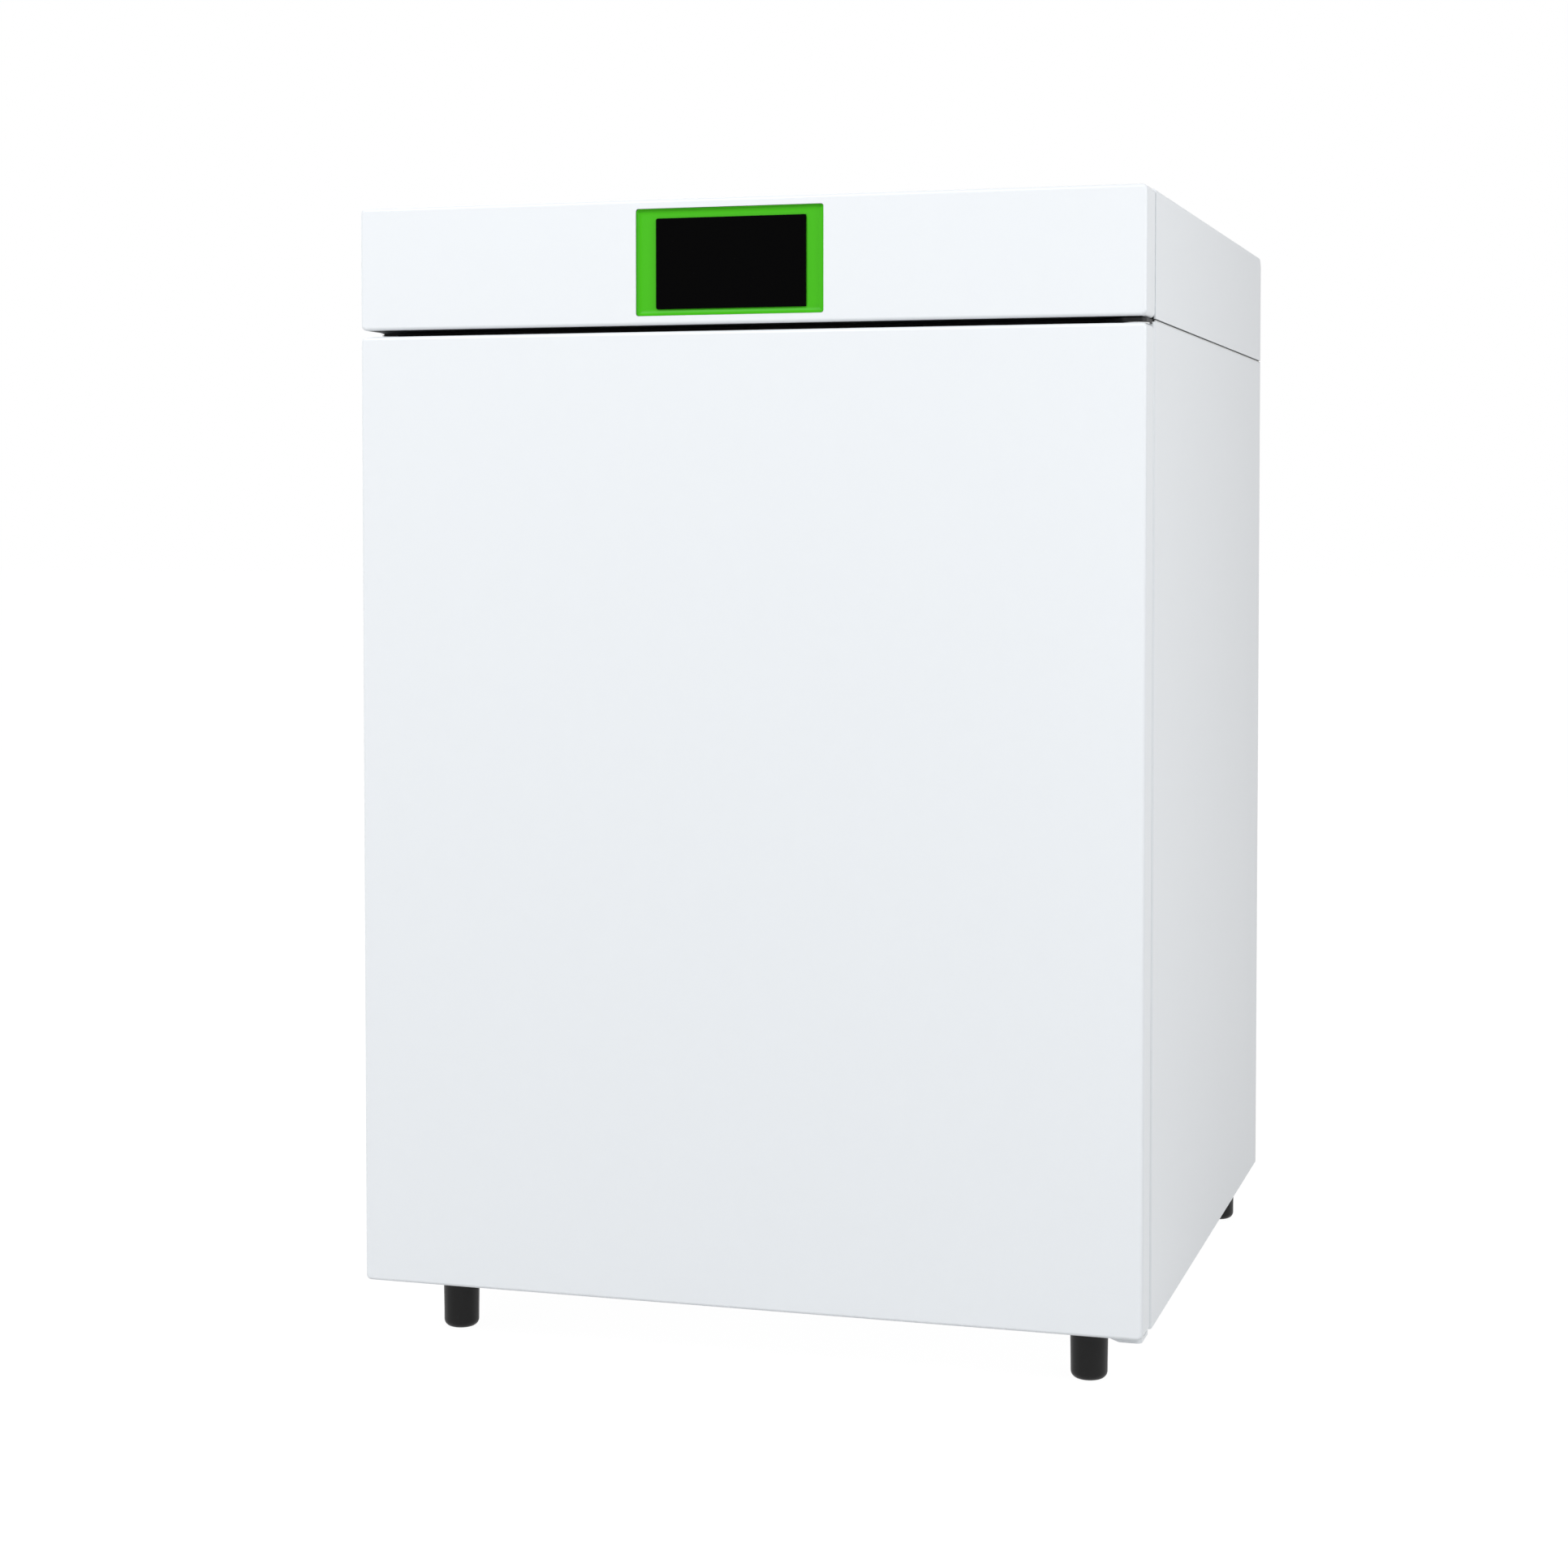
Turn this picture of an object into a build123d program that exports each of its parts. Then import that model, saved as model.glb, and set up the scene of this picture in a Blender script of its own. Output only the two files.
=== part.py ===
from build123d import *
import os
from math import radians, tan

os.makedirs("parts", exist_ok=True)

# A carbon dioxide incubator: an insulated cabinet on four feet, with a steel outer door, an
# inner glass door, a stainless chamber and a control head on top. Lengths are in mm.
# X runs to the right as seen from the front, Y to the rear, and Z up from the floor.
# The origin lies on the floor, half way along the width and the depth.

# Chamber, inside
chamber_width = 400.0
chamber_height = 500.0
chamber_depth = 440.0
chamber_radius = 20.0

# Insulated walls round the chamber, outside face to chamber
side_wall = 95.0
bottom_wall = 105.4
top_wall = 107.4
rear_wall = 103.0
sheet = 1.2
side_flange = 14.0
panel_bend = 2.4
base_flange = 20.0
pan_corner = 3.0
panel_clear = 2.0
board_clear = 0.6
board_joint = 0.4
heater_thickness = 1.6
heater_margin = 30.0

# Outer door
door_thickness = 32.0
door_gap = 4.0
door_foot_gap = 1.0
door_shell_depth = 27.5
door_corner = 4.0
door_edge = 2.5
door_panel_inset = 1.0
door_panel_depth = 2.7
door_core_inset = 1.5
emboss_height = 3.0
emboss_margin = 12.0
emboss_slope = 30.0
gasket_inset = 10.0
gasket_width = 14.0
gasket_clear = 0.3
gasket_round = 1.5
pull_height = 120.0
pull_width = 16.0
pull_depth = 18.0
pull_wall = 1.5
pull_corner = 5.0

# Outer door hinges
hinge_inset = 10.0
hinge_plate = 3.0
hinge_arm = 19.0
hinge_rear = 14.0
hinge_nose = 8.0
hinge_nose_clear = 2.0
hinge_pin_radius = 4.0
hinge_pin_length = 14.0
bush_radius = 7.0
bush_flange_radius = 9.0
bush_flange = 0.8
bush_length = 17.0
running_clear = 0.05
part_clear = 0.4

# Recess and inner glass door
recess_depth = 30.0
recess_margin = 45.0
recess_radius = 12.0
pane_margin = 25.0
pane_thickness = 5.0
pane_radius = 6.0
seal_depth = 5.7
seal_clear = 0.3
seal_offset = 2.0
seal_width = 10.0
seal_lip = 2.5
glass_axis_offset = 7.0
clamp_grip = 11.0
clamp_jaw = 4.0
clamp_height = 36.0
clamp_inset = 60.0
clamp_round = 4.0
clamp_beyond = 6.0
bracket_plate = 3.0
bracket_length = 24.0
bracket_width = 12.0
glass_pin_radius = 3.0
glass_pin_length = 24.0
latch_inset = 20.0
latch_boss_radius = 9.0
latch_boss_height = 2.0
latch_pin_radius = 2.5
latch_pin_length = 11.0
latch_hub_radius = 11.0
latch_height = 14.2
latch_grip_length = 34.0
latch_grip_width = 9.0
cam_reach = 35.0
cam_width = 12.0
cam_thickness = 2.8
cam_heel = 3.0
cam_round = 4.0
grip_round = 3.0
grip_draft = 7.0
keeper_height = 28.0
keeper_reach = 14.0
keeper_lip = 3.0
keeper_foot = 12.0
keeper_clear = 0.5
keeper_round = 1.0

# Shelves, racks and water pan
shelf_count = 3
shelf_pitch = 120.0
shelf_sheet = 1.2
shelf_front_clear = 29.0
shelf_rear_clear = 20.0
shelf_side_clear = 1.2
shelf_corner = 6.0
shelf_lip = 12.0
slot_length = 30.0
slot_width = 9.0
slot_pitch_x = 40.0
slot_pitch_y = 20.0
slot_margin = 22.0
rack_sheet = 1.5
rack_wall_gap = 2.0
rail_reach = 14.0
rail_mouth = 6.0
rail_overlap = 5.0
post_width = 18.0
post_inset = 10.0
rack_end_clear = 16.0
stud_inset = 20.0
stud_radius = 6.0
nut_radius = 5.0
nut_height = 4.0
slide_clear = 0.3
pan_width = 300.0
pan_height = 38.0
pan_radius = 18.0
pan_rim = 6.0

# Air duct at the rear of the chamber
plenum_depth = 40.0
cover_clear = 0.8
cover_slot_length = 36.0
cover_slot_width = 6.0
cover_slot_pitch = 50.0
cover_slot_rows = 3
cover_slot_rise = 14.0
outlet_rise = 60.0
outlet_drop = 120.0
inlet_radius = 46.0
filter_radius = 60.0
filter_depth = 12.0
filter_rim = 4.0
filter_chamfer = 1.0
filter_recess = 2.0
standoff_radius = 4.0
standoff_inset = 30.0
fan_drop = 90.0
fan_radius = 54.0
fan_blades = 12
blade_root = 20.0
blade_sheet = 1.6
blade_bow = 6.8
blade_sweep = 18.0
blade_margin = 4.5
fan_ring = 12.0
blade_depth = 22.0
fan_disc = 2.0
fan_wall_gap = 4.0
hub_radius = 12.0
shaft_radius = 4.0
shaft_hole_radius = 7.0
shaft_length = 60.0
motor_radius = 35.0
motor_length = 62.0
motor_flange_radius = 46.0
motor_flange = 3.0
motor_boss_radius = 14.0
motor_boss = 6.0
motor_round = 4.0
pocket_clear = 4.0
sensor_radius = 11.0
sensor_length = 24.0
sensor_round = 3.5
sensor_offset = 115.0
probe_radius = 2.5
probe_length = 19.0
probe_offset = 80.0

# Access port
port_offset = 120.0
port_rise = 88.0
port_bore_radius = 15.0
port_wall = 2.0
port_inner_reach = 3.0
port_flange_radius = 23.0
port_flange = 2.5
port_pocket = 24.0
plug_clear = 0.3
plug_length = 30.0
plug_head_radius = 19.0
plug_head = 11.0
plug_round = 3.0

# Feet
foot_height = 47.0
foot_radius = 14.0
foot_tip_radius = 13.4
foot_round = 5.5
front_foot_side = 50.0
front_foot_inset = 67.0
rear_foot_side = 30.0
rear_foot_inset = 26.0
foot_bolt_radius = 4.0
foot_bolt_hold = 25.0
foot_nut_radius = 7.5
foot_nut_height = 6.5
foot_bolt_stub = 2.0

# Control head
head_seam = 2.0
head_height = 90.7
head_groove = 4.7
top_plate_drop = 1.7
fascia_sheet = 1.5
fascia_return = 0.5
hood_sheet = 1.2
hood_edge = 2.5
hood_rear_bend = 10.0
tray_sheet = 1.2
tray_flange = 12.0
head_clear = 0.3
foam_width = 18.0
collar_overlap = 12.0
collar_sheet = 1.5
collar_corner = 4.0

# Display
bezel_width = 141.0
bezel_height = 77.1
bezel_shift = -7.2
bezel_rise = 45.25
bezel_recess = 1.0
bezel_plate = 2.0
bezel_flange = 3.6
bezel_corner = 2.0
bezel_clear = 0.15
screen_width = 112.7
screen_height = 65.3
screen_shift = -6.55
screen_rise = 44.15
screen_recess = 0.6
screen_glass = 3.0
screen_corner = 1.5
screen_clear = 0.2
module_margin = 3.0
module_depth = 9.0
module_board = 1.6

# Fittings inside and behind the head
rear_reach = 26.0
fitting_rise = 45.0
board_width = 160.0
board_depth = 110.0
board_lift = 8.0
board_sheet = 1.6
board_shift = 60.0
board_front = 180.0
chip_size = 22.0
chip_height = 3.0
sink_width = 40.0
sink_height = 24.0
sink_fins = 5
sink_fin = 2.0
supply_width = 98.0
supply_depth = 160.0
supply_height = 40.0
supply_shift = -200.0
supply_front = 330.0
supply_terminal = 14.0
valve_shift = 150.0
valve_body = 28.0
valve_body_height = 20.0
valve_coil_radius = 12.0
valve_coil_height = 30.0
valve_distance = 60.0
gas_pipe_radius = 4.0
gas_hole_clear = 0.2
gas_pipe_chamfer = 0.8
gas_nut_radius = 8.0
gas_nut_height = 5.0
mains_shift = -200.0
mains_flange_width = 50.0
mains_flange_height = 25.0
mains_flange = 2.5
mains_cavity_width = 24.4
mains_cavity_height = 16.6
mains_cavity_depth = 17.0
mains_wall = 2.0
mains_floor = 3.0
mains_chamfer = 4.5
blade_spacing = 14.0
blade_thickness = 2.0
blade_height = 4.0
blade_length = 13.5
blade_row = 2.0
switch_shift = -140.0
switch_width = 24.4
switch_height = 17.8
switch_wall = 1.5
switch_rim = 3.0
switch_flange = 2.0
switch_housing = 16.0
rocker_pivot = 3.0
rocker_tilt = 12.0
rocker_half = 7.4
rocker_face = 3.5
rocker_heel = 4.5
rocker_clear = 0.3
trunnion_radius = 1.5
vent_count = 9
vent_pitch = 9.0
vent_width = 3.0
vent_height = 34.0
screw_head_radius = 3.5
screw_head = 1.8
screw_chamfer = 0.6
screws_per_side = 4
screw_margin = 60.0
door_sensor_width = 30.0
door_sensor_depth = 14.0
door_sensor_height = 6.0
door_sensor_shift = -165.0
door_sensor_round = 2.0

# Distances back from the outer door's front face
cabinet_front = door_thickness + door_gap
ledge = cabinet_front + recess_depth
chamber_back = ledge + chamber_depth
cabinet_back = chamber_back + rear_wall
panel_front = cabinet_back - 2 * sheet
inner_front = cabinet_front + sheet
liner_back = chamber_back + sheet
cover_back = chamber_back - plenum_depth
cover_front = cover_back - sheet
pane_back = ledge - seal_depth - seal_clear
pane_front = pane_back - pane_thickness
front_y = -(cabinet_back + rear_reach) / 2

# Half widths
half = chamber_width / 2 + side_wall
inside_half = half - sheet
liner_half = chamber_width / 2 + sheet
recess_half = chamber_width / 2 + recess_margin
pane_half = chamber_width / 2 + pane_margin
board_half = inside_half - sheet - board_clear

# Heights from the floor
base_z = foot_height
base_top = base_z + sheet
chamber_floor = base_z + bottom_wall
chamber_roof = chamber_floor + chamber_height
chamber_mid = (chamber_floor + chamber_roof) / 2
side_top = chamber_roof + top_wall
top_plate_z = side_top - top_plate_drop
board_top = top_plate_z - sheet
head_z = side_top + head_seam
head_top = head_z + head_height
tray_top = head_z + tray_sheet
door_bottom = base_z + door_foot_gap
door_top = head_z - head_groove
door_height = door_top - door_bottom
door_mid = (door_top + door_bottom) / 2
fan_z = chamber_roof - fan_drop
port_z = chamber_floor + port_rise
fitting_z = head_z + fitting_rise


def back(distance):
    """Y of a point that lies this far behind the outer door's front face."""
    return front_y + distance


def facing(distance):
    """Upright plane this far behind the door's front face; positive extrusions come forward."""
    return Plane.XZ.offset(-back(distance))


def block(x_range, depth_range, z_range, mode=Mode.ADD):
    """Box between two X values, two distances from the door's front, and two heights."""
    size_x, size_y, size_z = (high - low for low, high in (x_range, depth_range, z_range))
    centre = (sum(x_range) / 2, back(sum(depth_range) / 2), sum(z_range) / 2)
    with Locations(centre):
        Box(size_x, size_y, size_z, mode=mode)


def mirrored(side, near, far):
    """X range on one side of the middle, given its distances from the middle."""
    return (near, far) if side > 0 else (-far, -near)


# Side panels: one bent sheet each, with a rounded front edge and a return at both ends
for side, name in ((-1, "side_panel_left"), (1, "side_panel_right")):
    with BuildPart() as side_panel:
        with BuildSketch(Plane.XY.offset(base_z)):
            with BuildLine():
                FilletPolyline(
                    (side * (half - side_flange), back(cabinet_front) + sheet / 2),
                    (side * (half - sheet / 2), back(cabinet_front) + sheet / 2),
                    (side * (half - sheet / 2), back(cabinet_back) - sheet / 2),
                    (side * (half - side_flange), back(cabinet_back) - sheet / 2),
                    radius=panel_bend,
                )
            trace(line_width=sheet)
        extrude(amount=side_top - base_z)
    side_panel.part.label = name
    export_step(side_panel.part, f"parts/{name}.step")

foot_places = [
    (-(half - front_foot_side), back(front_foot_inset)),
    (half - front_foot_side, back(front_foot_inset)),
    (-(half - rear_foot_side), back(cabinet_back - rear_foot_inset)),
    (half - rear_foot_side, back(cabinet_back - rear_foot_inset)),
]
inner_depth = panel_front - inner_front
inner_middle = back((panel_front + inner_front) / 2)

# Base pan: a shallow tray between the side panels
with BuildPart() as base_pan:
    with BuildSketch(Plane.XY.offset(base_z)):
        with Locations((0, inner_middle)):
            RectangleRounded(2 * inside_half, inner_depth, pan_corner)
    extrude(amount=base_flange)
    offset(amount=-sheet, openings=base_pan.faces().sort_by(Axis.Z)[-1])
    with BuildSketch(Plane.XY.offset(base_z)):
        with Locations(*foot_places):
            Circle(foot_bolt_radius + part_clear)
    extrude(amount=sheet, mode=Mode.SUBTRACT)
base_pan.part.label = "base_pan"
export_step(base_pan.part, "parts/base_pan.step")

# Top plate: closes the insulation under the control head
with BuildPart() as top_plate:
    with BuildSketch(Plane.XY.offset(board_top)):
        with Locations((0, inner_middle)):
            RectangleRounded(2 * inside_half, inner_depth, pan_corner)
    extrude(amount=sheet)
top_plate.part.label = "top_plate"
export_step(top_plate.part, "parts/top_plate.step")

# Rear panel: held behind the side panels' returns, with the hole for the access port
with BuildPart() as rear_panel:
    with BuildSketch(facing(panel_front)):
        with Locations((0, (base_z + side_top) / 2)):
            Rectangle(2 * (inside_half - panel_clear), side_top - base_z)
        with Locations((port_offset, port_z)):
            Circle(port_bore_radius + port_wall + part_clear, mode=Mode.SUBTRACT)
    extrude(amount=-sheet)
rear_panel.part.label = "rear_panel"
export_step(rear_panel.part, "parts/rear_panel.step")

# Screws that hold the rear panel, through the side panels' returns
with BuildPart() as rear_panel_screws:
    with BuildSketch(facing(cabinet_back)):
        screw_pitch = (side_top - base_z - 2 * screw_margin) / (screws_per_side - 1)
        with Locations((0, (base_z + side_top) / 2)):
            with GridLocations(2 * half - side_flange, screw_pitch, 2, screws_per_side):
                Circle(screw_head_radius)
    extrude(amount=-screw_head)
    chamfer(rear_panel_screws.faces().group_by(Axis.Y)[-1].edges(), length=screw_chamfer)
rear_panel_screws.part.label = "rear_panel_screws"
export_step(rear_panel_screws.part, "parts/rear_panel_screws.step")

# Front frame: the cabinet's face, pressed in round the chamber to seat the glass door
recess_width = 2 * recess_half
recess_height = chamber_height + 2 * recess_margin
with BuildPart() as front_frame:
    with BuildSketch(facing(cabinet_front)):
        with Locations((0, (base_z + top_plate_z) / 2)):
            Rectangle(2 * (half - side_flange), top_plate_z - base_z)
        with Locations((0, chamber_mid)):
            RectangleRounded(recess_width, recess_height, recess_radius, mode=Mode.SUBTRACT)
    extrude(amount=-sheet)
    with BuildSketch(facing(cabinet_front)):
        with Locations((0, chamber_mid)):
            RectangleRounded(
                recess_width + 2 * sheet, recess_height + 2 * sheet, recess_radius + sheet
            )
            RectangleRounded(recess_width, recess_height, recess_radius, mode=Mode.SUBTRACT)
    extrude(amount=-recess_depth)
front_frame.part.label = "front_frame"
export_step(front_frame.part, "parts/front_frame.step")

# Insulation boards: four bars round the recess, four boards round the liner, and the rear
# wall's boards, laid round the pockets for the fan motor and the access port
frame_half = recess_half + sheet
frame_low = chamber_mid - recess_height / 2 - sheet
frame_high = chamber_mid + recess_height / 2 + sheet
lining = sheet + heater_thickness
core_half = chamber_width / 2 + lining
core_low = chamber_floor - lining
core_high = chamber_roof + lining
bar_depths = (inner_front + sheet + board_clear, ledge + sheet)
wall_depths = (ledge + sheet + board_joint, liner_back)
rear_depths = (liner_back + board_joint, panel_front - sheet - board_clear)
full_height = (base_top, board_top)
motor_pocket = motor_flange_radius + pocket_clear
with BuildPart() as insulation_boards:
    for side in (-1, 1):
        block(mirrored(side, frame_half, board_half), bar_depths, full_height)
        block(mirrored(side, core_half, board_half), wall_depths, full_height)
    inner_bar = (-frame_half + board_joint, frame_half - board_joint)
    block(inner_bar, bar_depths, (base_top, frame_low))
    block(inner_bar, bar_depths, (frame_high, board_top))
    inner_board = (-core_half + board_joint, core_half - board_joint)
    block(inner_board, wall_depths, (base_top, core_low))
    block(inner_board, wall_depths, (core_high, board_top))
    block((-board_half, -motor_pocket - board_joint), rear_depths, full_height)
    block((-motor_pocket, motor_pocket), rear_depths, (base_top, fan_z - motor_pocket))
    block((-motor_pocket, motor_pocket), rear_depths, (fan_z + motor_pocket, board_top))
    motor_end = liner_back + motor_length + motor_boss + pocket_clear
    motor_lid = (fan_z - motor_pocket + board_joint, fan_z + motor_pocket - board_joint)
    block((-motor_pocket, motor_pocket), (motor_end, rear_depths[1]), motor_lid)
    port_side = (motor_pocket + board_joint, board_half)
    port_low = port_z - port_pocket
    port_high = port_z + port_pocket
    block(port_side, rear_depths, (base_top, port_low - board_joint))
    block(port_side, rear_depths, (port_high + board_joint, board_top))
    block((port_side[0], port_offset - port_pocket), rear_depths, (port_low, port_high))
    block((port_offset + port_pocket, board_half), rear_depths, (port_low, port_high))
    with BuildSketch(Plane.XY.offset(base_top)):
        with Locations(*foot_places):
            Circle(foot_nut_radius + part_clear)
    extrude(amount=foot_nut_height + 2 * foot_bolt_stub, mode=Mode.SUBTRACT)
insulation_boards.part.label = "insulation_boards"
export_step(insulation_boards.part, "parts/insulation_boards.step")

# Chamber liner: deep-drawn stainless box with rounded corners and a flange to the recess
with BuildPart() as chamber_liner:
    with BuildSketch(facing(ledge)):
        with Locations((0, chamber_mid)):
            RectangleRounded(2 * liner_half, chamber_height + 2 * sheet, chamber_radius + sheet)
    extrude(amount=-(chamber_depth + sheet))
    with BuildSketch(facing(ledge)):
        with Locations((0, chamber_mid)):
            RectangleRounded(
                recess_width + 2 * sheet, recess_height + 2 * sheet, recess_radius + sheet
            )
    extrude(amount=-sheet)
    with BuildSketch(facing(ledge)):
        with Locations((0, chamber_mid)):
            RectangleRounded(chamber_width, chamber_height, chamber_radius)
    extrude(amount=-chamber_depth, mode=Mode.SUBTRACT)
    with BuildSketch(facing(chamber_back)):
        with Locations((0, fan_z)):
            Circle(shaft_hole_radius)
        with Locations((port_offset, port_z)):
            Circle(port_bore_radius + port_wall + part_clear / 2)
    extrude(amount=-sheet, mode=Mode.SUBTRACT)
chamber_liner.part.label = "chamber_liner"
export_step(chamber_liner.part, "parts/chamber_liner.step")

# Heater mats on the liner's sides and floor
heater_depths = (ledge + heater_margin, chamber_back - heater_margin)
heater_heights = (chamber_floor + heater_margin, chamber_roof - heater_margin)
heater_span = chamber_width / 2 - heater_margin
with BuildPart() as heater_mats:
    for side in (-1, 1):
        block(mirrored(side, liner_half, core_half), heater_depths, heater_heights)
    block((-heater_span, heater_span), heater_depths, (core_low, chamber_floor - sheet))
heater_mats.part.label = "heater_mats"
export_step(heater_mats.part, "parts/heater_mats.step")

# Chamber seal: soft ring on the liner's flange, which the glass door closes on
seal_inner = 2 * seal_offset
seal_outer = seal_inner + 2 * seal_width
with BuildPart() as chamber_seal:
    with BuildSketch(facing(ledge)):
        with Locations((0, chamber_mid)):
            RectangleRounded(
                chamber_width + seal_outer,
                chamber_height + seal_outer,
                chamber_radius + seal_offset + seal_width,
            )
            RectangleRounded(
                chamber_width + seal_inner,
                chamber_height + seal_inner,
                chamber_radius + seal_offset,
                mode=Mode.SUBTRACT,
            )
    extrude(amount=seal_depth)
    chamfer(chamber_seal.faces().sort_by(Axis.Y)[0].edges(), length=seal_lip)
chamber_seal.part.label = "chamber_seal"
export_step(chamber_seal.part, "parts/chamber_seal.step")

# Shelf racks: two posts and a channel rail for each shelf, on both side walls
rack_outer = chamber_width / 2 - rack_wall_gap
rack_inner = rack_outer - rack_sheet
rack_heights = (chamber_floor + rack_end_clear, chamber_roof - rack_end_clear)
shelf_half = rack_inner - shelf_side_clear
shelf_depths = (ledge + shelf_front_clear, cover_front - shelf_rear_clear)
shelf_heights = [chamber_floor + shelf_pitch * (level + 1) for level in range(shelf_count)]
front_post = (shelf_depths[0] + post_inset, shelf_depths[0] + post_inset + post_width)
rear_post = (shelf_depths[1] - post_inset - post_width, shelf_depths[1] - post_inset)
for side, name in ((-1, "rack_left"), (1, "rack_right")):
    with BuildPart() as rack:
        for post in (front_post, rear_post):
            block(mirrored(side, rack_inner, rack_outer), post, rack_heights)
        with BuildSketch(facing(shelf_depths[0])):
            for height in shelf_heights:
                low = height - slide_clear - rack_sheet / 2
                high = height + rail_mouth + rack_sheet / 2
                with BuildLine():
                    Polyline(
                        (side * (rack_outer - rail_reach), low),
                        (side * (rack_outer - rack_sheet / 2), low),
                        (side * (rack_outer - rack_sheet / 2), high),
                        (side * (rack_inner - rail_overlap), high),
                    )
                trace(line_width=rack_sheet)
        extrude(amount=-(shelf_depths[1] - shelf_depths[0]))
    rack.part.label = name
    export_step(rack.part, f"parts/{name}.step")

# Studs: spacers and nuts that hold the racks to the liner, and the air duct cover's posts
rack_stud_heights = (rack_heights[0] + stud_inset, rack_heights[1] - stud_inset)
cover_half = chamber_width / 2 - cover_clear
cover_low = chamber_floor + cover_clear
cover_high = chamber_roof - cover_clear
post_grid = (2 * (cover_half - standoff_inset), cover_high - cover_low - 2 * standoff_inset)
with BuildPart() as liner_studs:
    for side in (-1, 1):
        for post in (front_post, rear_post):
            for height in rack_stud_heights:
                stud_y = back(sum(post) / 2)
                with BuildSketch(Plane.YZ.offset(side * rack_outer)):
                    with Locations((stud_y, height)):
                        Circle(stud_radius)
                extrude(amount=side * rack_wall_gap)
                with BuildSketch(Plane.YZ.offset(side * rack_inner)):
                    with Locations((stud_y, height)):
                        RegularPolygon(nut_radius, 6)
                extrude(amount=-side * nut_height)
    with BuildSketch(facing(chamber_back)):
        with Locations((0, chamber_mid)):
            with GridLocations(*post_grid, 2, 2):
                Circle(standoff_radius)
    extrude(amount=plenum_depth)
liner_studs.part.label = "liner_studs"
export_step(liner_studs.part, "parts/liner_studs.step")

# Shelves: perforated sheets that slide in the racks, with turned-down front and rear edges
shelf_depth = shelf_depths[1] - shelf_depths[0]
shelf_y = back(sum(shelf_depths) / 2)
slots_across = int((2 * shelf_half - 2 * slot_margin) // slot_pitch_x)
slots_deep = int((shelf_depth - 2 * slot_margin) // slot_pitch_y)
lip_half = rack_outer - rail_reach - shelf_side_clear
for height, name in zip(shelf_heights, ("shelf_bottom", "shelf_middle", "shelf_top")):
    with BuildPart() as shelf:
        with BuildSketch(Plane.XY.offset(height)):
            with Locations((0, shelf_y)):
                RectangleRounded(2 * shelf_half, shelf_depth, shelf_corner)
                with GridLocations(slot_pitch_x, slot_pitch_y, slots_across, slots_deep):
                    Rectangle(slot_length, slot_width, mode=Mode.SUBTRACT)
        extrude(amount=shelf_sheet)
        for edge in (shelf_depths[0], shelf_depths[1] - shelf_sheet):
            block((-lip_half, lip_half), (edge, edge + shelf_sheet), (height - shelf_lip, height))
    shelf.part.label = name
    export_step(shelf.part, f"parts/{name}.step")

# Water pan on the chamber floor
pan_depth = shelf_depth - 2 * pan_radius
pan_z = chamber_floor + slide_clear
with BuildPart() as water_pan:
    with BuildSketch(Plane.XY.offset(pan_z)):
        with Locations((0, shelf_y)):
            RectangleRounded(pan_width, pan_depth, pan_radius)
    extrude(amount=pan_height)
    fillet(water_pan.faces().sort_by(Axis.Z)[0].edges(), radius=pan_rim)
    offset(amount=-sheet, openings=water_pan.faces().sort_by(Axis.Z)[-1])
    with BuildSketch(Plane.XY.offset(pan_z + pan_height - sheet)):
        with Locations((0, shelf_y)):
            RectangleRounded(pan_width + 2 * pan_rim, pan_depth + 2 * pan_rim, pan_radius + pan_rim)
            RectangleRounded(
                pan_width - 2 * sheet, pan_depth - 2 * sheet, pan_radius - sheet, mode=Mode.SUBTRACT
            )
    extrude(amount=sheet)
water_pan.part.label = "water_pan"
export_step(water_pan.part, "parts/water_pan.step")

# Air duct cover: front wall of the plenum, with an inlet behind the filter and outlet slots
slot_columns = int((2 * cover_half - 2 * standoff_inset) // cover_slot_pitch)
with BuildPart() as air_duct_cover:
    with BuildSketch(facing(cover_front)):
        with Locations((0, chamber_mid)):
            RectangleRounded(
                2 * cover_half, cover_high - cover_low, chamber_radius - cover_clear
            )
        with Locations((0, fan_z)):
            Circle(inlet_radius, mode=Mode.SUBTRACT)
        for group_z in (cover_low + outlet_rise, fan_z - outlet_drop):
            with Locations((0, group_z)):
                with GridLocations(cover_slot_pitch, cover_slot_rise, slot_columns, cover_slot_rows):
                    Rectangle(cover_slot_length, cover_slot_width, mode=Mode.SUBTRACT)
    extrude(amount=-sheet)
air_duct_cover.part.label = "air_duct_cover"
export_step(air_duct_cover.part, "parts/air_duct_cover.step")

# Air filter: a round cartridge over the fan's inlet
with BuildPart() as air_filter:
    with BuildSketch(facing(cover_front)):
        with Locations((0, fan_z)):
            Circle(filter_radius)
    extrude(amount=filter_depth)
    chamfer(air_filter.faces().sort_by(Axis.Y)[0].edges(), length=filter_chamfer)
    with BuildSketch(facing(cover_front - filter_depth)):
        with Locations((0, fan_z)):
            Circle(filter_radius - filter_rim)
    extrude(amount=-filter_recess, mode=Mode.SUBTRACT)
air_filter.part.label = "air_filter"
export_step(air_filter.part, "parts/air_filter.step")

# Carbon dioxide sensor in the plenum, on the liner's rear wall
with BuildPart() as co2_sensor:
    with BuildSketch(facing(chamber_back)):
        with Locations((-sensor_offset, fan_z)):
            Circle(sensor_radius)
    extrude(amount=sensor_length)
    fillet(co2_sensor.faces().sort_by(Axis.Y)[0].edges(), radius=sensor_round)
co2_sensor.part.label = "co2_sensor"
export_step(co2_sensor.part, "parts/co2_sensor.step")

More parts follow.
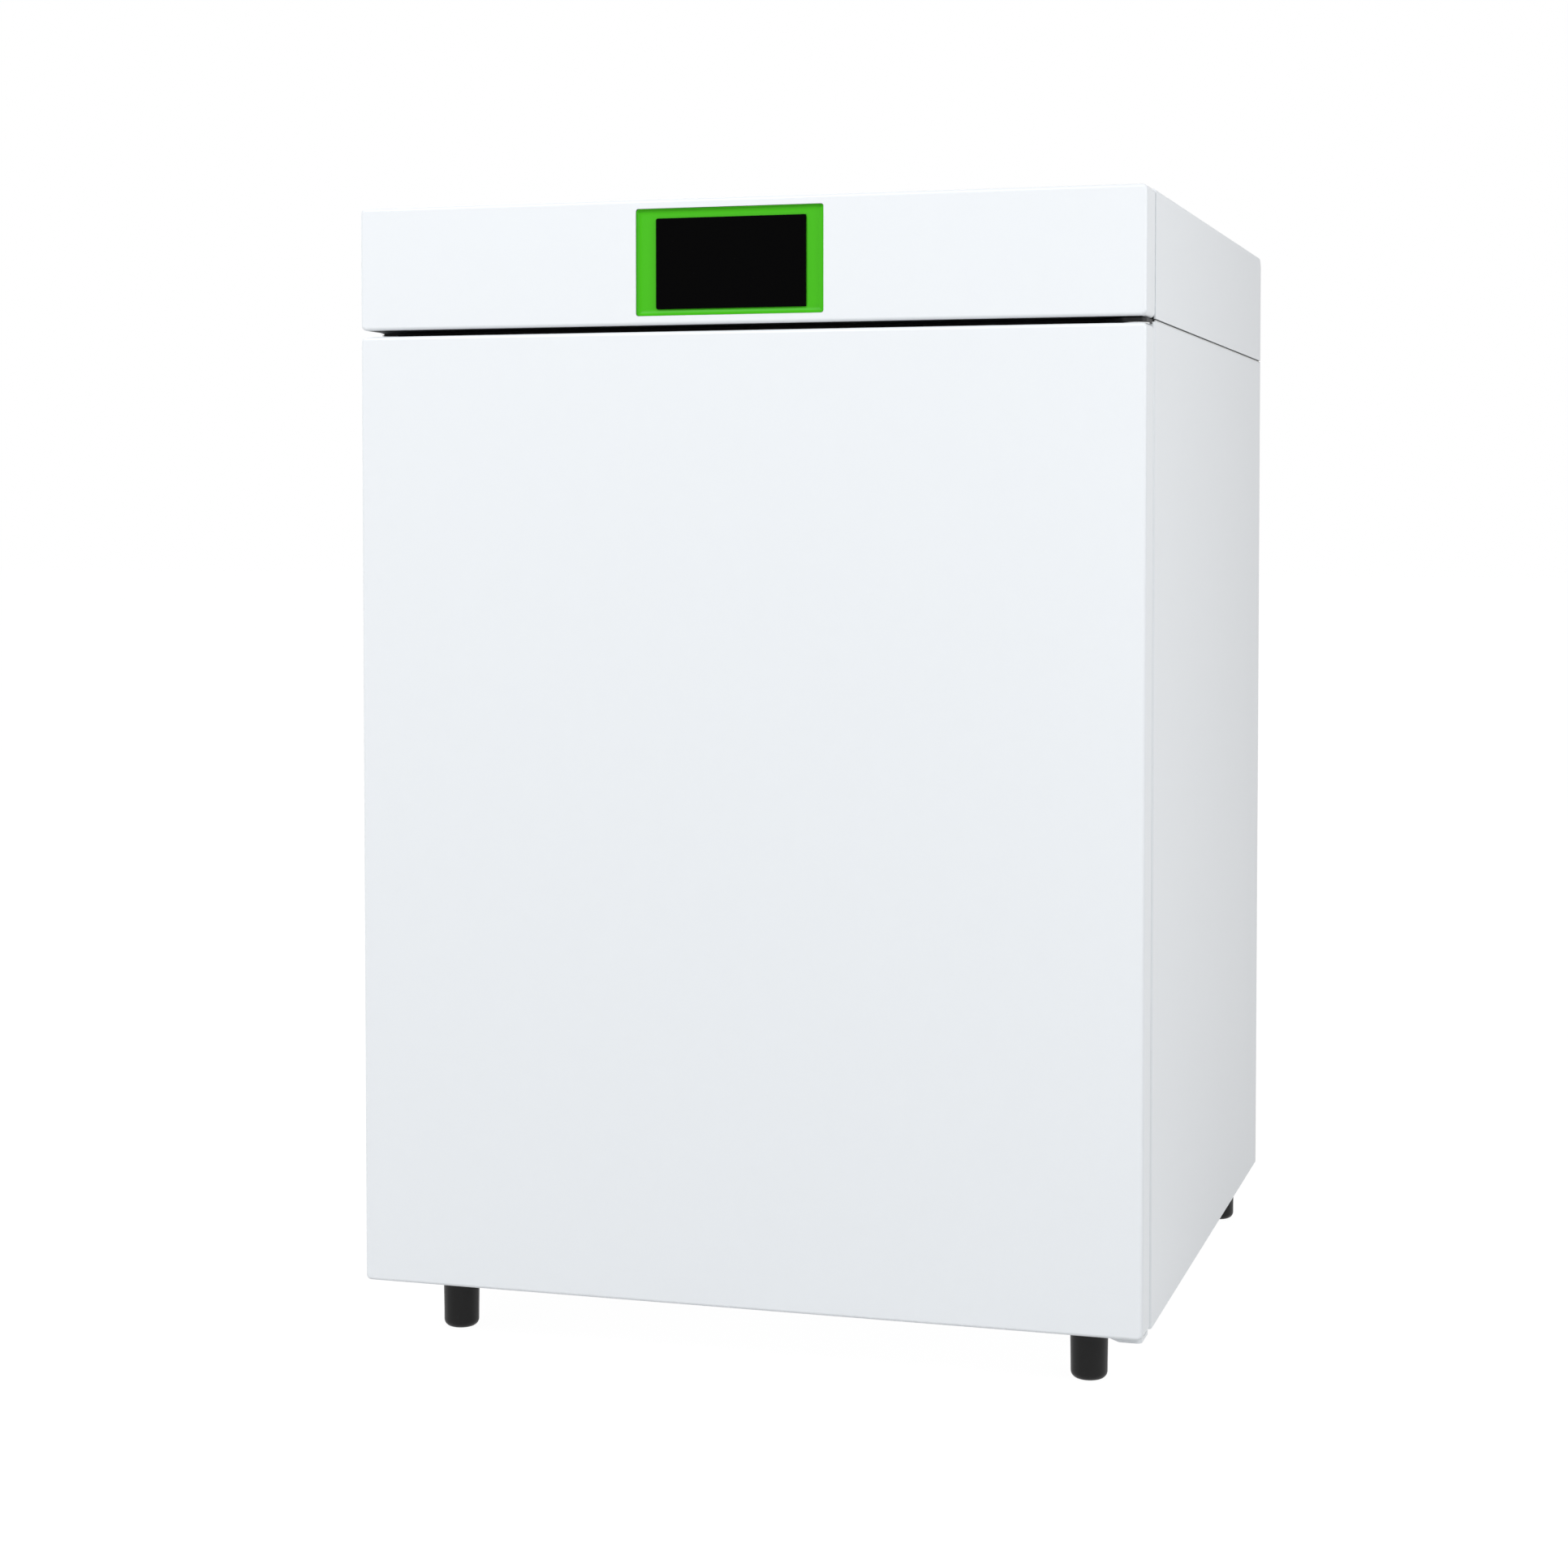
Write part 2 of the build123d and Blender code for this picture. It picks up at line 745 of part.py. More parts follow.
# Temperature probe on the air duct cover
with BuildPart() as temperature_probe:
    with BuildSketch(facing(cover_front)):
        with Locations((probe_offset, fan_z)):
            RegularPolygon(2 * probe_radius, 6)
    extrude(amount=2 * probe_radius)
    with BuildSketch(facing(cover_front)):
        with Locations((probe_offset, fan_z)):
            Circle(probe_radius)
    extrude(amount=probe_length)
temperature_probe.part.label = "temperature_probe"
export_step(temperature_probe.part, "parts/temperature_probe.step")

# Fan motor: flange on the liner's back, can in the insulation's pocket, bore for the shaft
with BuildPart() as fan_motor:
    with BuildSketch(facing(liner_back)):
        with Locations((0, fan_z)):
            Circle(motor_flange_radius)
    extrude(amount=-motor_flange)
    with BuildSketch(facing(liner_back)):
        with Locations((0, fan_z)):
            Circle(motor_radius)
    extrude(amount=-motor_length)
    fillet(fan_motor.faces().sort_by(Axis.Y)[-1].edges(), radius=motor_round)
    with BuildSketch(facing(liner_back + motor_length)):
        with Locations((0, fan_z)):
            Circle(motor_boss_radius)
    extrude(amount=-motor_boss)
    with BuildSketch(facing(liner_back)):
        with Locations((0, fan_z)):
            Circle(shaft_radius + running_clear)
    extrude(amount=-shaft_length, mode=Mode.SUBTRACT)
fan_motor.part.label = "fan_motor"
export_step(fan_motor.part, "parts/fan_motor.step")

# One curved fan blade, drawn round the shaft's axis
with BuildSketch() as fan_blade:
    with BuildLine():
        ThreePointArc(
            (blade_root, 0),
            ((blade_root + fan_radius) / 2, -blade_bow),
            (fan_radius - blade_margin, -blade_sweep),
        )
    trace(line_width=blade_sheet)

# Fan wheel: back disc with hub and shaft, curved blades, and a ring on their front edges
disc_back = chamber_back - fan_wall_gap
with BuildPart() as fan_wheel:
    with BuildSketch(facing(disc_back)):
        with Locations((0, fan_z)):
            Circle(fan_radius)
    extrude(amount=fan_disc)
    with BuildSketch(facing(disc_back)):
        with Locations((0, fan_z)):
            with PolarLocations(0, fan_blades):
                add(fan_blade.sketch)
    extrude(amount=fan_disc + blade_depth)
    with BuildSketch(facing(disc_back - blade_depth)):
        with Locations((0, fan_z)):
            Circle(fan_radius)
            Circle(fan_radius - fan_ring, mode=Mode.SUBTRACT)
    extrude(amount=fan_disc)
    with BuildSketch(facing(disc_back)):
        with Locations((0, fan_z)):
            Circle(hub_radius)
    extrude(amount=blade_depth)
    with BuildSketch(facing(disc_back)):
        with Locations((0, fan_z)):
            Circle(shaft_radius)
    extrude(amount=-(shaft_length - slide_clear))
fan_wheel.part.label = "fan_wheel"
export_step(fan_wheel.part, "parts/fan_wheel.step")

# Access port: a sleeve through the rear wall, with a flange on the rear panel
port_face = cabinet_back - sheet
with BuildPart() as port_tube:
    with BuildSketch(facing(chamber_back - port_inner_reach)):
        with Locations((port_offset, port_z)):
            Circle(port_bore_radius + port_wall)
    extrude(amount=-(port_face - chamber_back + port_inner_reach))
    with BuildSketch(facing(port_face)):
        with Locations((port_offset, port_z)):
            Circle(port_flange_radius)
    extrude(amount=-port_flange)
    with BuildSketch(facing(chamber_back - port_inner_reach)):
        with Locations((port_offset, port_z)):
            Circle(port_bore_radius)
    extrude(amount=-(port_face + port_flange - chamber_back + port_inner_reach), mode=Mode.SUBTRACT)
port_tube.part.label = "port_tube"
export_step(port_tube.part, "parts/port_tube.step")

# Stopper of the access port, with a wider head to pull it by
plug_seat = port_face + port_flange + plug_clear
with BuildPart() as port_plug:
    with BuildSketch(facing(plug_seat)):
        with Locations((port_offset, port_z)):
            Circle(port_bore_radius - plug_clear)
    extrude(amount=plug_length)
    chamfer(port_plug.faces().sort_by(Axis.Y)[0].edges(), length=plug_round / 2)
    with BuildSketch(facing(plug_seat)):
        with Locations((port_offset, port_z)):
            Circle(plug_head_radius)
    extrude(amount=-plug_head)
    fillet(port_plug.faces().sort_by(Axis.Y)[-1].edges(), radius=plug_round)
port_plug.part.label = "port_plug"
export_step(port_plug.part, "parts/port_plug.step")

# Feet: turned plastic posts, a little narrower and rounded at the floor
with BuildPart() as feet:
    for foot_x, foot_y in foot_places:
        with BuildSketch(Plane.XZ.offset(-foot_y)):
            with BuildLine():
                Polyline(
                    (foot_x, foot_height),
                    (foot_x, 0),
                    (foot_x + foot_tip_radius - foot_round, 0),
                )
                Line((foot_x + foot_tip_radius, foot_round), (foot_x + foot_radius, foot_height))
                RadiusArc(
                    (foot_x + foot_tip_radius - foot_round, 0),
                    (foot_x + foot_tip_radius, foot_round),
                    -foot_round,
                )
                Line((foot_x + foot_radius, foot_height), (foot_x, foot_height))
            make_face()
        revolve(axis=Axis((foot_x, foot_y, 0), (0, 0, 1)))
    with BuildSketch(Plane.XY.offset(foot_height)):
        with Locations(*foot_places):
            Circle(foot_bolt_radius + running_clear)
    extrude(amount=-foot_bolt_hold, mode=Mode.SUBTRACT)
feet.part.label = "feet"
export_step(feet.part, "parts/feet.step")

# Foot bolts: a stud from each foot through the base pan, with its nut
with BuildPart() as foot_bolts:
    with BuildSketch(Plane.XY.offset(foot_height - foot_bolt_hold)):
        with Locations(*foot_places):
            Circle(foot_bolt_radius)
    extrude(amount=foot_bolt_hold + sheet + foot_nut_height + foot_bolt_stub)
    with BuildSketch(Plane.XY.offset(base_top)):
        with Locations(*foot_places):
            RegularPolygon(foot_nut_radius, 6)
    extrude(amount=foot_nut_height)
foot_bolts.part.label = "foot_bolts"
export_step(foot_bolts.part, "parts/foot_bolts.step")

# Outer door hinges: cranked plates over and under the door, each with a fixed pin
hinge_x = half - hinge_inset
hinge_d = door_thickness / 2
arm_outer = half - side_flange - part_clear
arm_inner = arm_outer - hinge_arm
nose_outer = hinge_x + hinge_nose
nose_front = hinge_d - hinge_nose
nose_rear = cabinet_front - hinge_nose_clear
arm_rear = cabinet_front + hinge_rear
for name, face_z, way in (
    ("hinge_plate_top", top_plate_z, 1),
    ("hinge_plate_bottom", base_z, -1),
):
    with BuildPart() as hinge:
        with BuildSketch(Plane.XY.offset(face_z)) as outline:
            with BuildLine():
                Polyline(
                    (arm_inner, back(arm_rear)),
                    (arm_inner, back(hinge_d + hinge_nose)),
                    (hinge_x - hinge_nose, back(nose_front)),
                    (nose_outer, back(nose_front)),
                    (nose_outer, back(nose_rear)),
                    (arm_outer, back(nose_rear)),
                    (arm_outer, back(arm_rear)),
                    close=True,
                )
            make_face()
            fillet(outline.vertices().group_by(Axis.Y)[0], radius=hinge_pin_radius)
        extrude(amount=way * hinge_plate)
        with BuildSketch(Plane.XY.offset(face_z)):
            with Locations((hinge_x, back(hinge_d))):
                Circle(hinge_pin_radius)
        extrude(amount=-way * hinge_pin_length)
    hinge.part.label = name
    export_step(hinge.part, f"parts/{name}.step")

# Outer door's shell: a steel pan, open to the rear, with holes for the bushes and the pull
pull_hole = (pull_width + 2 * running_clear, pull_height + 2 * running_clear)
with BuildPart() as door_skin:
    with BuildSketch(facing(0)):
        with Locations((0, door_mid)):
            RectangleRounded(2 * half, door_height, door_corner)
    extrude(amount=-door_shell_depth)
    fillet(door_skin.faces().sort_by(Axis.Y)[0].edges(), radius=door_edge)
    offset(amount=-sheet, openings=door_skin.faces().sort_by(Axis.Y)[-1])
    with BuildSketch(Plane.XY.offset(door_bottom)):
        with Locations((hinge_x, back(hinge_d))):
            Circle(bush_radius + running_clear)
    extrude(amount=door_height, mode=Mode.SUBTRACT)
    with BuildSketch(Plane.YZ.offset(-half)):
        with Locations((back(hinge_d), chamber_mid)):
            RectangleRounded(*pull_hole, pull_corner + running_clear)
    extrude(amount=2 * sheet, mode=Mode.SUBTRACT)
door_skin.part.label = "door_skin"
export_step(door_skin.part, "parts/door_skin.step")

# Door insulation: one slab, bored for the bushes and pocketed for the pull
core_span = inside_half - door_core_inset
core_bottom = door_bottom + sheet + door_core_inset
core_top = door_top - sheet - door_core_inset
panel_face = door_thickness - door_panel_depth
with BuildPart() as door_insulation:
    block((-core_span, core_span), (sheet, panel_face), (core_bottom, core_top))
    for start, way in ((core_bottom, 1), (core_top, -1)):
        with BuildSketch(Plane.XY.offset(start)):
            with Locations((hinge_x, back(hinge_d))):
                Circle(bush_radius + running_clear)
        extrude(amount=way * bush_length, mode=Mode.SUBTRACT)
    with BuildSketch(Plane.YZ.offset(-half)):
        with Locations((back(hinge_d), chamber_mid)):
            RectangleRounded(*pull_hole, pull_corner + running_clear)
    extrude(amount=pull_depth + running_clear, mode=Mode.SUBTRACT)
door_insulation.part.label = "door_insulation"
export_step(door_insulation.part, "parts/door_insulation.step")

# Door's inner panel, with a low embossed field opposite the recess
with BuildPart() as door_panel:
    with BuildSketch(facing(panel_face)):
        with Locations((0, door_mid)):
            RectangleRounded(
                2 * (half - door_panel_inset), door_height - 2 * door_panel_inset, door_corner
            )
    extrude(amount=-door_panel_depth)
    with BuildSketch(facing(door_thickness)):
        with Locations((0, chamber_mid)):
            RectangleRounded(
                recess_width - 2 * emboss_margin, recess_height - 2 * emboss_margin, recess_radius
            )
    extrude(amount=-emboss_height, taper=emboss_slope)
door_panel.part.label = "door_panel"
export_step(door_panel.part, "parts/door_panel.step")

# Magnetic gasket round the edge of the door's inner panel
gasket_height = door_height - 2 * gasket_inset
with BuildPart() as door_gasket:
    with BuildSketch(facing(door_thickness)):
        with Locations((0, door_mid)):
            RectangleRounded(2 * (half - gasket_inset), gasket_height, gasket_width)
            RectangleRounded(
                2 * (half - gasket_inset - gasket_width),
                gasket_height - 2 * gasket_width,
                gasket_width / 2,
                mode=Mode.SUBTRACT,
            )
    extrude(amount=-(door_gap - gasket_clear))
    chamfer(door_gasket.faces().sort_by(Axis.Y)[-1].edges(), length=gasket_round)
door_gasket.part.label = "door_gasket"
export_step(door_gasket.part, "parts/door_gasket.step")

# Flanged bushes in the door's ends, turning on the hinge pins
with BuildPart() as door_bushes:
    for end_z, way in ((door_bottom, 1), (door_top, -1)):
        with BuildSketch(Plane.XY.offset(end_z)):
            with Locations((hinge_x, back(hinge_d))):
                Circle(bush_radius)
                Circle(hinge_pin_radius + running_clear, mode=Mode.SUBTRACT)
        extrude(amount=way * bush_length)
        with BuildSketch(Plane.XY.offset(end_z)):
            with Locations((hinge_x, back(hinge_d))):
                Circle(bush_flange_radius)
                Circle(hinge_pin_radius + running_clear, mode=Mode.SUBTRACT)
        extrude(amount=-way * bush_flange)
door_bushes.part.label = "door_bushes"
export_step(door_bushes.part, "parts/door_bushes.step")

# Recessed finger pull in the door's free edge
with BuildPart() as door_pull:
    with BuildSketch(Plane.YZ.offset(-half)):
        with Locations((back(hinge_d), chamber_mid)):
            RectangleRounded(pull_width, pull_height, pull_corner)
    extrude(amount=pull_depth)
    offset(amount=-pull_wall, openings=door_pull.faces().sort_by(Axis.X)[0])
door_pull.part.label = "door_pull"
export_step(door_pull.part, "parts/door_pull.step")

# Inner glass door
pane_height = chamber_height + 2 * pane_margin
with BuildPart() as glass_pane:
    with BuildSketch(facing(pane_back)):
        with Locations((0, chamber_mid)):
            RectangleRounded(2 * pane_half, pane_height, pane_radius)
    extrude(amount=pane_thickness)
glass_pane.part.label = "glass_pane"
export_step(glass_pane.part, "parts/glass_pane.step")

# Glass door's hinge clamps: blocks that grip the pane's edge and turn on the brackets' pins
glass_axis_x = pane_half + glass_axis_offset
glass_axis_d = (pane_front + pane_back) / 2
clamp_x = (pane_half - clamp_grip, glass_axis_x + clamp_beyond)
clamp_d = (pane_front - clamp_jaw, pane_back + clamp_jaw - part_clear)
pane_low = chamber_mid - pane_height / 2
pane_high = chamber_mid + pane_height / 2
clamp_middles = (pane_low + clamp_inset, pane_high - clamp_inset)
with BuildPart() as glass_clamps:
    for middle in clamp_middles:
        with BuildSketch(Plane.XY.offset(middle - clamp_height / 2)) as clamp_outline:
            with Locations((sum(clamp_x) / 2, back(sum(clamp_d) / 2))):
                Rectangle(clamp_x[1] - clamp_x[0], clamp_d[1] - clamp_d[0])
            fillet(clamp_outline.vertices().group_by(Axis.X)[-1], radius=clamp_round)
            with Locations((pane_half - clamp_grip, back(glass_axis_d))):
                Rectangle(2 * clamp_grip, pane_thickness, mode=Mode.SUBTRACT)
            with Locations((glass_axis_x, back(glass_axis_d))):
                Circle(glass_pin_radius + running_clear, mode=Mode.SUBTRACT)
        extrude(amount=clamp_height)
glass_clamps.part.label = "glass_clamps"
export_step(glass_clamps.part, "parts/glass_clamps.step")

# Hinge brackets on the recess wall: an ear outside each clamp, with a pin into its bore
ear_d = (glass_axis_d - bracket_width / 2, glass_axis_d + bracket_width / 2)
with BuildPart() as glass_brackets:
    for middle, way in zip(clamp_middles, (-1, 1)):
        ear = middle + way * (clamp_height / 2 + part_clear)
        with BuildSketch(Plane.XY.offset(ear)):
            with Locations((glass_axis_x, back(glass_axis_d))):
                Circle(bracket_width / 2)
            with Locations(((glass_axis_x + recess_half) / 2, back(glass_axis_d))):
                Rectangle(recess_half - glass_axis_x, bracket_width)
        extrude(amount=way * bracket_plate)
        plate_z = sorted((ear, ear + way * bracket_length))
        block((recess_half - bracket_plate, recess_half), ear_d, plate_z)
        with BuildSketch(Plane.XY.offset(ear)):
            with Locations((glass_axis_x, back(glass_axis_d))):
                Circle(glass_pin_radius)
        extrude(amount=-way * glass_pin_length)
glass_brackets.part.label = "glass_brackets"
export_step(glass_brackets.part, "parts/glass_brackets.step")

# Latch boss: bonded on the glass, with the pin that the latch turns on
latch_x = -(pane_half - latch_inset)
boss_front = pane_front - latch_boss_height
with BuildPart() as latch_boss:
    with BuildSketch(facing(pane_front)):
        with Locations((latch_x, chamber_mid)):
            Circle(latch_boss_radius)
    extrude(amount=latch_boss_height)
    with BuildSketch(facing(boss_front)):
        with Locations((latch_x, chamber_mid)):
            Circle(latch_pin_radius)
    extrude(amount=latch_pin_length)
latch_boss.part.label = "latch_boss"
export_step(latch_boss.part, "parts/latch_boss.step")

# Glass door's latch: a knob with a grip bar, and a cam that turns behind the keeper
latch_back = boss_front - slide_clear
latch_front = latch_back - latch_height
with BuildPart() as glass_latch:
    with BuildSketch(facing(latch_back)):
        with Locations((latch_x, chamber_mid - cam_reach / 2 + cam_heel)):
            RectangleRounded(cam_width, cam_reach + 2 * cam_heel, cam_round)
    extrude(amount=cam_thickness)
    with BuildSketch(facing(latch_back)):
        with Locations((latch_x, chamber_mid)):
            Circle(latch_hub_radius)
    extrude(amount=latch_height / 2)
    with BuildSketch(facing(latch_back - latch_height / 2)):
        with Locations((latch_x, chamber_mid)):
            RectangleRounded(latch_grip_width, latch_grip_length, grip_round)
    extrude(amount=latch_height / 2, taper=grip_draft)
    with BuildSketch(facing(latch_back)):
        with Locations((latch_x, chamber_mid)):
            Circle(latch_pin_radius + running_clear)
    extrude(amount=latch_pin_length, mode=Mode.SUBTRACT)
glass_latch.part.label = "glass_latch"
export_step(glass_latch.part, "parts/glass_latch.step")

# Latch keeper on the left recess wall
lip_back = latch_back - cam_thickness - keeper_clear
with BuildPart() as latch_keeper:
    lip_z = (chamber_mid - keeper_height / 2, chamber_mid + keeper_height / 2)
    block((-recess_half, -recess_half + keeper_reach), (lip_back - keeper_lip, lip_back), lip_z)
    foot_depths = (lip_back - keeper_lip, lip_back + keeper_foot)
    block((-recess_half, -recess_half + keeper_lip), foot_depths, lip_z)
    inner_edges = latch_keeper.edges().filter_by(Axis.Z).group_by(Axis.X)[-1]
    fillet(inner_edges, radius=keeper_round)
latch_keeper.part.label = "latch_keeper"
export_step(latch_keeper.part, "parts/latch_keeper.step")

# Door sensor under the recess's top wall
sensor_x = (door_sensor_shift - door_sensor_width / 2, door_sensor_shift + door_sensor_width / 2)
sensor_d = (cabinet_front + part_clear, cabinet_front + part_clear + door_sensor_depth)
recess_top = chamber_mid + recess_height / 2
with BuildPart() as door_sensor:
    block(sensor_x, sensor_d, (recess_top - door_sensor_height, recess_top))
    fillet(door_sensor.edges().filter_by(Axis.Z), radius=door_sensor_round)
door_sensor.part.label = "door_sensor"
export_step(door_sensor.part, "parts/door_sensor.step")

# Foam strip between the top plate and the head's tray, cut away over the upper hinge
with BuildPart() as head_foam:
    with BuildSketch(Plane.XY.offset(top_plate_z)):
        with Locations((0, inner_middle)):
            RectangleRounded(2 * inside_half, inner_depth, pan_corner)
            Rectangle(
                2 * (inside_half - foam_width), inner_depth - 2 * foam_width, mode=Mode.SUBTRACT
            )
    extrude(amount=head_z - top_plate_z)
    block(
        (arm_inner - part_clear, arm_outer + part_clear),
        (cabinet_front, arm_rear + part_clear),
        (top_plate_z, head_z),
        mode=Mode.SUBTRACT,
    )
head_foam.part.label = "head_foam"
export_step(head_foam.part, "parts/head_foam.step")

# Head tray: floor of the control head, reaching forward under the fascia
head_half = half - fascia_sheet - head_clear
fascia_mouth = half - door_corner
fascia_lip = door_edge + fascia_return
tray_depths = (cabinet_front - head_clear, cabinet_back - hood_sheet - head_clear)
nose_half = fascia_mouth - head_clear
collar_depths = (door_thickness - collar_overlap, cabinet_front + collar_overlap)
with BuildPart() as head_tray:
    block((-head_half, head_half), tray_depths, (head_z, tray_top))
    block((-nose_half, nose_half), (fascia_lip + head_clear, tray_depths[0]), (head_z, tray_top))
    flange_z = (tray_top, tray_top + tray_flange)
    flange_d = (collar_depths[1] + head_clear, tray_depths[1])
    for side in (-1, 1):
        block(mirrored(side, head_half - tray_sheet, head_half), flange_d, flange_z)
    block((-head_half, head_half), (tray_depths[1] - tray_sheet, tray_depths[1]), flange_z)
head_tray.part.label = "head_tray"
export_step(head_tray.part, "parts/head_tray.step")

# Collar: ring that carries both the fascia and the hood
collar_high = head_top - fascia_sheet - head_clear
with BuildPart() as head_collar:
    with BuildSketch(facing(collar_depths[0])):
        with Locations((0, (tray_top + collar_high) / 2)):
            RectangleRounded(2 * head_half, collar_high - tray_top, collar_corner)
            RectangleRounded(
                2 * (head_half - collar_sheet),
                collar_high - tray_top - 2 * collar_sheet,
                collar_corner - collar_sheet,
                mode=Mode.SUBTRACT,
            )
    extrude(amount=-(collar_depths[1] - collar_depths[0]))
head_collar.part.label = "head_collar"
export_step(head_collar.part, "parts/head_collar.step")

# Hood: top, sides and rear of the head, open below and in front, with its rear cut-outs
housing_width = mains_cavity_width + 2 * mains_wall
housing_height = mains_cavity_height + 2 * mains_wall
switch_outer = (switch_width + 2 * switch_wall, switch_height + 2 * switch_wall)
with BuildPart() as hood_space:
    with BuildSketch(Plane.YZ.offset(hood_sheet - half)) as space_side:
        with Locations((back(cabinet_front), head_z)):
            Rectangle(
                cabinet_back - cabinet_front - hood_sheet,
                head_height - hood_sheet,
                align=(Align.MIN, Align.MIN),
            )
        space_corner = space_side.vertices().group_by(Axis.Y)[-1].sort_by(Axis.X)[-1]
        fillet(space_corner, radius=hood_rear_bend - hood_sheet)
    extrude(amount=2 * (half - hood_sheet))
    rounded = hood_space.faces().filter_by(Axis.X).edges()
    rounded = rounded.filter_by(lambda edge: edge.center().Z > head_z + hood_edge)
    rounded = rounded.filter_by(lambda edge: edge.center().Y > back(cabinet_front) + hood_edge)
    fillet(rounded, radius=hood_edge - hood_sheet)

with BuildPart() as head_hood:
    with BuildSketch(Plane.YZ.offset(-half)) as hood_side:
        with Locations((back((cabinet_front + cabinet_back) / 2), (head_z + head_top) / 2)):
            Rectangle(cabinet_back - cabinet_front, head_height)
        rear_corner = hood_side.vertices().group_by(Axis.Y)[-1].sort_by(Axis.X)[-1]
        fillet(rear_corner, radius=hood_rear_bend)
    extrude(amount=2 * half)
    rounded = head_hood.faces().filter_by(Axis.X).edges()
    rounded = rounded.filter_by(lambda edge: edge.center().Z > head_z + hood_edge)
    rounded = rounded.filter_by(lambda edge: edge.center().Y > back(cabinet_front) + hood_edge)
    fillet(rounded, radius=hood_edge)
    add(hood_space.part, mode=Mode.SUBTRACT)
    with BuildSketch(facing(cabinet_back)):
        with Locations((mains_shift, fitting_z)):
            Rectangle(housing_width + part_clear, housing_height + part_clear)
        with Locations((switch_shift, fitting_z)):
            Rectangle(switch_outer[0] + part_clear, switch_outer[1] + part_clear)
        with Locations((valve_shift, fitting_z)):
            Circle(gas_pipe_radius + gas_hole_clear)
        with Locations((0, fitting_z)):
            with GridLocations(vent_pitch, 0, vent_count, 1):
                Rectangle(vent_width, vent_height)
    extrude(amount=2 * hood_sheet, mode=Mode.SUBTRACT)
head_hood.part.label = "head_hood"
export_step(head_hood.part, "parts/head_hood.step")

# Fascia: front pan of the head, open below and behind, with the display's window
bezel_z = head_z + bezel_rise
screen_z = head_z + screen_rise
with BuildPart() as fascia:
    with BuildSketch(facing(0)):
        with Locations((0, (head_z + head_top) / 2)):
            RectangleRounded(2 * half, head_height, door_corner)
    extrude(amount=-door_thickness)
    fillet(fascia.faces().sort_by(Axis.Y)[0].edges(), radius=door_edge)
    offset(amount=-fascia_sheet, openings=fascia.faces().sort_by(Axis.Y)[-1])
    block(
        (-fascia_mouth, fascia_mouth),
        (fascia_lip, door_thickness),
        (head_z, head_z + fascia_sheet),
        mode=Mode.SUBTRACT,
    )
    with BuildSketch(facing(0)):
        with Locations((bezel_shift, bezel_z)):
            RectangleRounded(
                bezel_width + 2 * bezel_clear, bezel_height + 2 * bezel_clear, bezel_corner
            )
    extrude(amount=-2 * fascia_sheet, mode=Mode.SUBTRACT)
fascia.part.label = "fascia"
export_step(fascia.part, "parts/fascia.step")

# Display bezel: set back in the window, with a flange behind the fascia
bezel_back = fascia_sheet + bezel_plate
with BuildPart() as display_bezel:
    with BuildSketch(facing(bezel_back)):
        with Locations((bezel_shift, bezel_z)):
            RectangleRounded(
                bezel_width + 2 * bezel_flange, bezel_height + 2 * bezel_flange, bezel_corner
            )
    extrude(amount=bezel_plate)
    with BuildSketch(facing(bezel_back)):
        with Locations((bezel_shift, bezel_z)):
            RectangleRounded(bezel_width, bezel_height, bezel_corner)
    extrude(amount=bezel_back - bezel_recess)
    with BuildSketch(facing(bezel_back)):
        with Locations((screen_shift, screen_z)):
            RectangleRounded(
                screen_width + 2 * screen_clear, screen_height + 2 * screen_clear, screen_corner
            )
    extrude(amount=bezel_back, mode=Mode.SUBTRACT)
display_bezel.part.label = "display_bezel"
export_step(display_bezel.part, "parts/display_bezel.step")

# Touch screen's glass
screen_front = bezel_recess + screen_recess
screen_back = screen_front + screen_glass
with BuildPart() as touch_screen:
    with BuildSketch(facing(screen_back)):
        with Locations((screen_shift, screen_z)):
            RectangleRounded(screen_width, screen_height, screen_corner)
    extrude(amount=screen_glass)
touch_screen.part.label = "touch_screen"
export_step(touch_screen.part, "parts/touch_screen.step")

# Display module behind the glass, with its circuit board
module_back = screen_back + module_depth
with BuildPart() as display_module:
    with BuildSketch(facing(module_back)):
        with Locations((screen_shift, screen_z)):
            Rectangle(screen_width, screen_height)
    extrude(amount=module_depth)
    with BuildSketch(facing(module_back + module_board)):
        with Locations((screen_shift, screen_z)):
            Rectangle(screen_width + 2 * module_margin, screen_height + 2 * module_margin)
    extrude(amount=module_board)
display_module.part.label = "display_module"
export_step(display_module.part, "parts/display_module.step")

# Control board on four posts, with its chips and a finned heat sink
board_x = (board_shift - board_width / 2, board_shift + board_width / 2)
board_d = (board_front, board_front + board_depth)
board_z = tray_top + board_lift
board_face = board_z + board_sheet
board_middle = (board_shift, back(sum(board_d) / 2))
with BuildPart() as control_board:
    block(board_x, board_d, (board_z, board_face))
    with BuildSketch(Plane.XY.offset(tray_top)):
        with Locations(board_middle):
            with GridLocations(board_width - 2 * board_lift, board_depth - 2 * board_lift, 2, 2):
                Circle(standoff_radius)
    extrude(amount=board_lift)
    with BuildSketch(Plane.XY.offset(board_face)):
        with Locations((board_middle[0] - chip_size, board_middle[1] - chip_size)):
            with GridLocations(2 * chip_size, 2 * chip_size, 2, 1):
                Rectangle(chip_size, chip_size)
    extrude(amount=chip_height)
    with BuildSketch(Plane.XY.offset(board_face)):
        with Locations((board_middle[0], board_middle[1] + chip_size)):
            Rectangle(sink_width, sink_width / 2)
    extrude(amount=chip_height)
    with BuildSketch(Plane.XY.offset(board_face)):
        with Locations((board_middle[0], board_middle[1] + chip_size)):
            with GridLocations(sink_width / sink_fins, 0, sink_fins, 1):
                Rectangle(sink_fin, sink_width / 2)
    extrude(amount=sink_height)
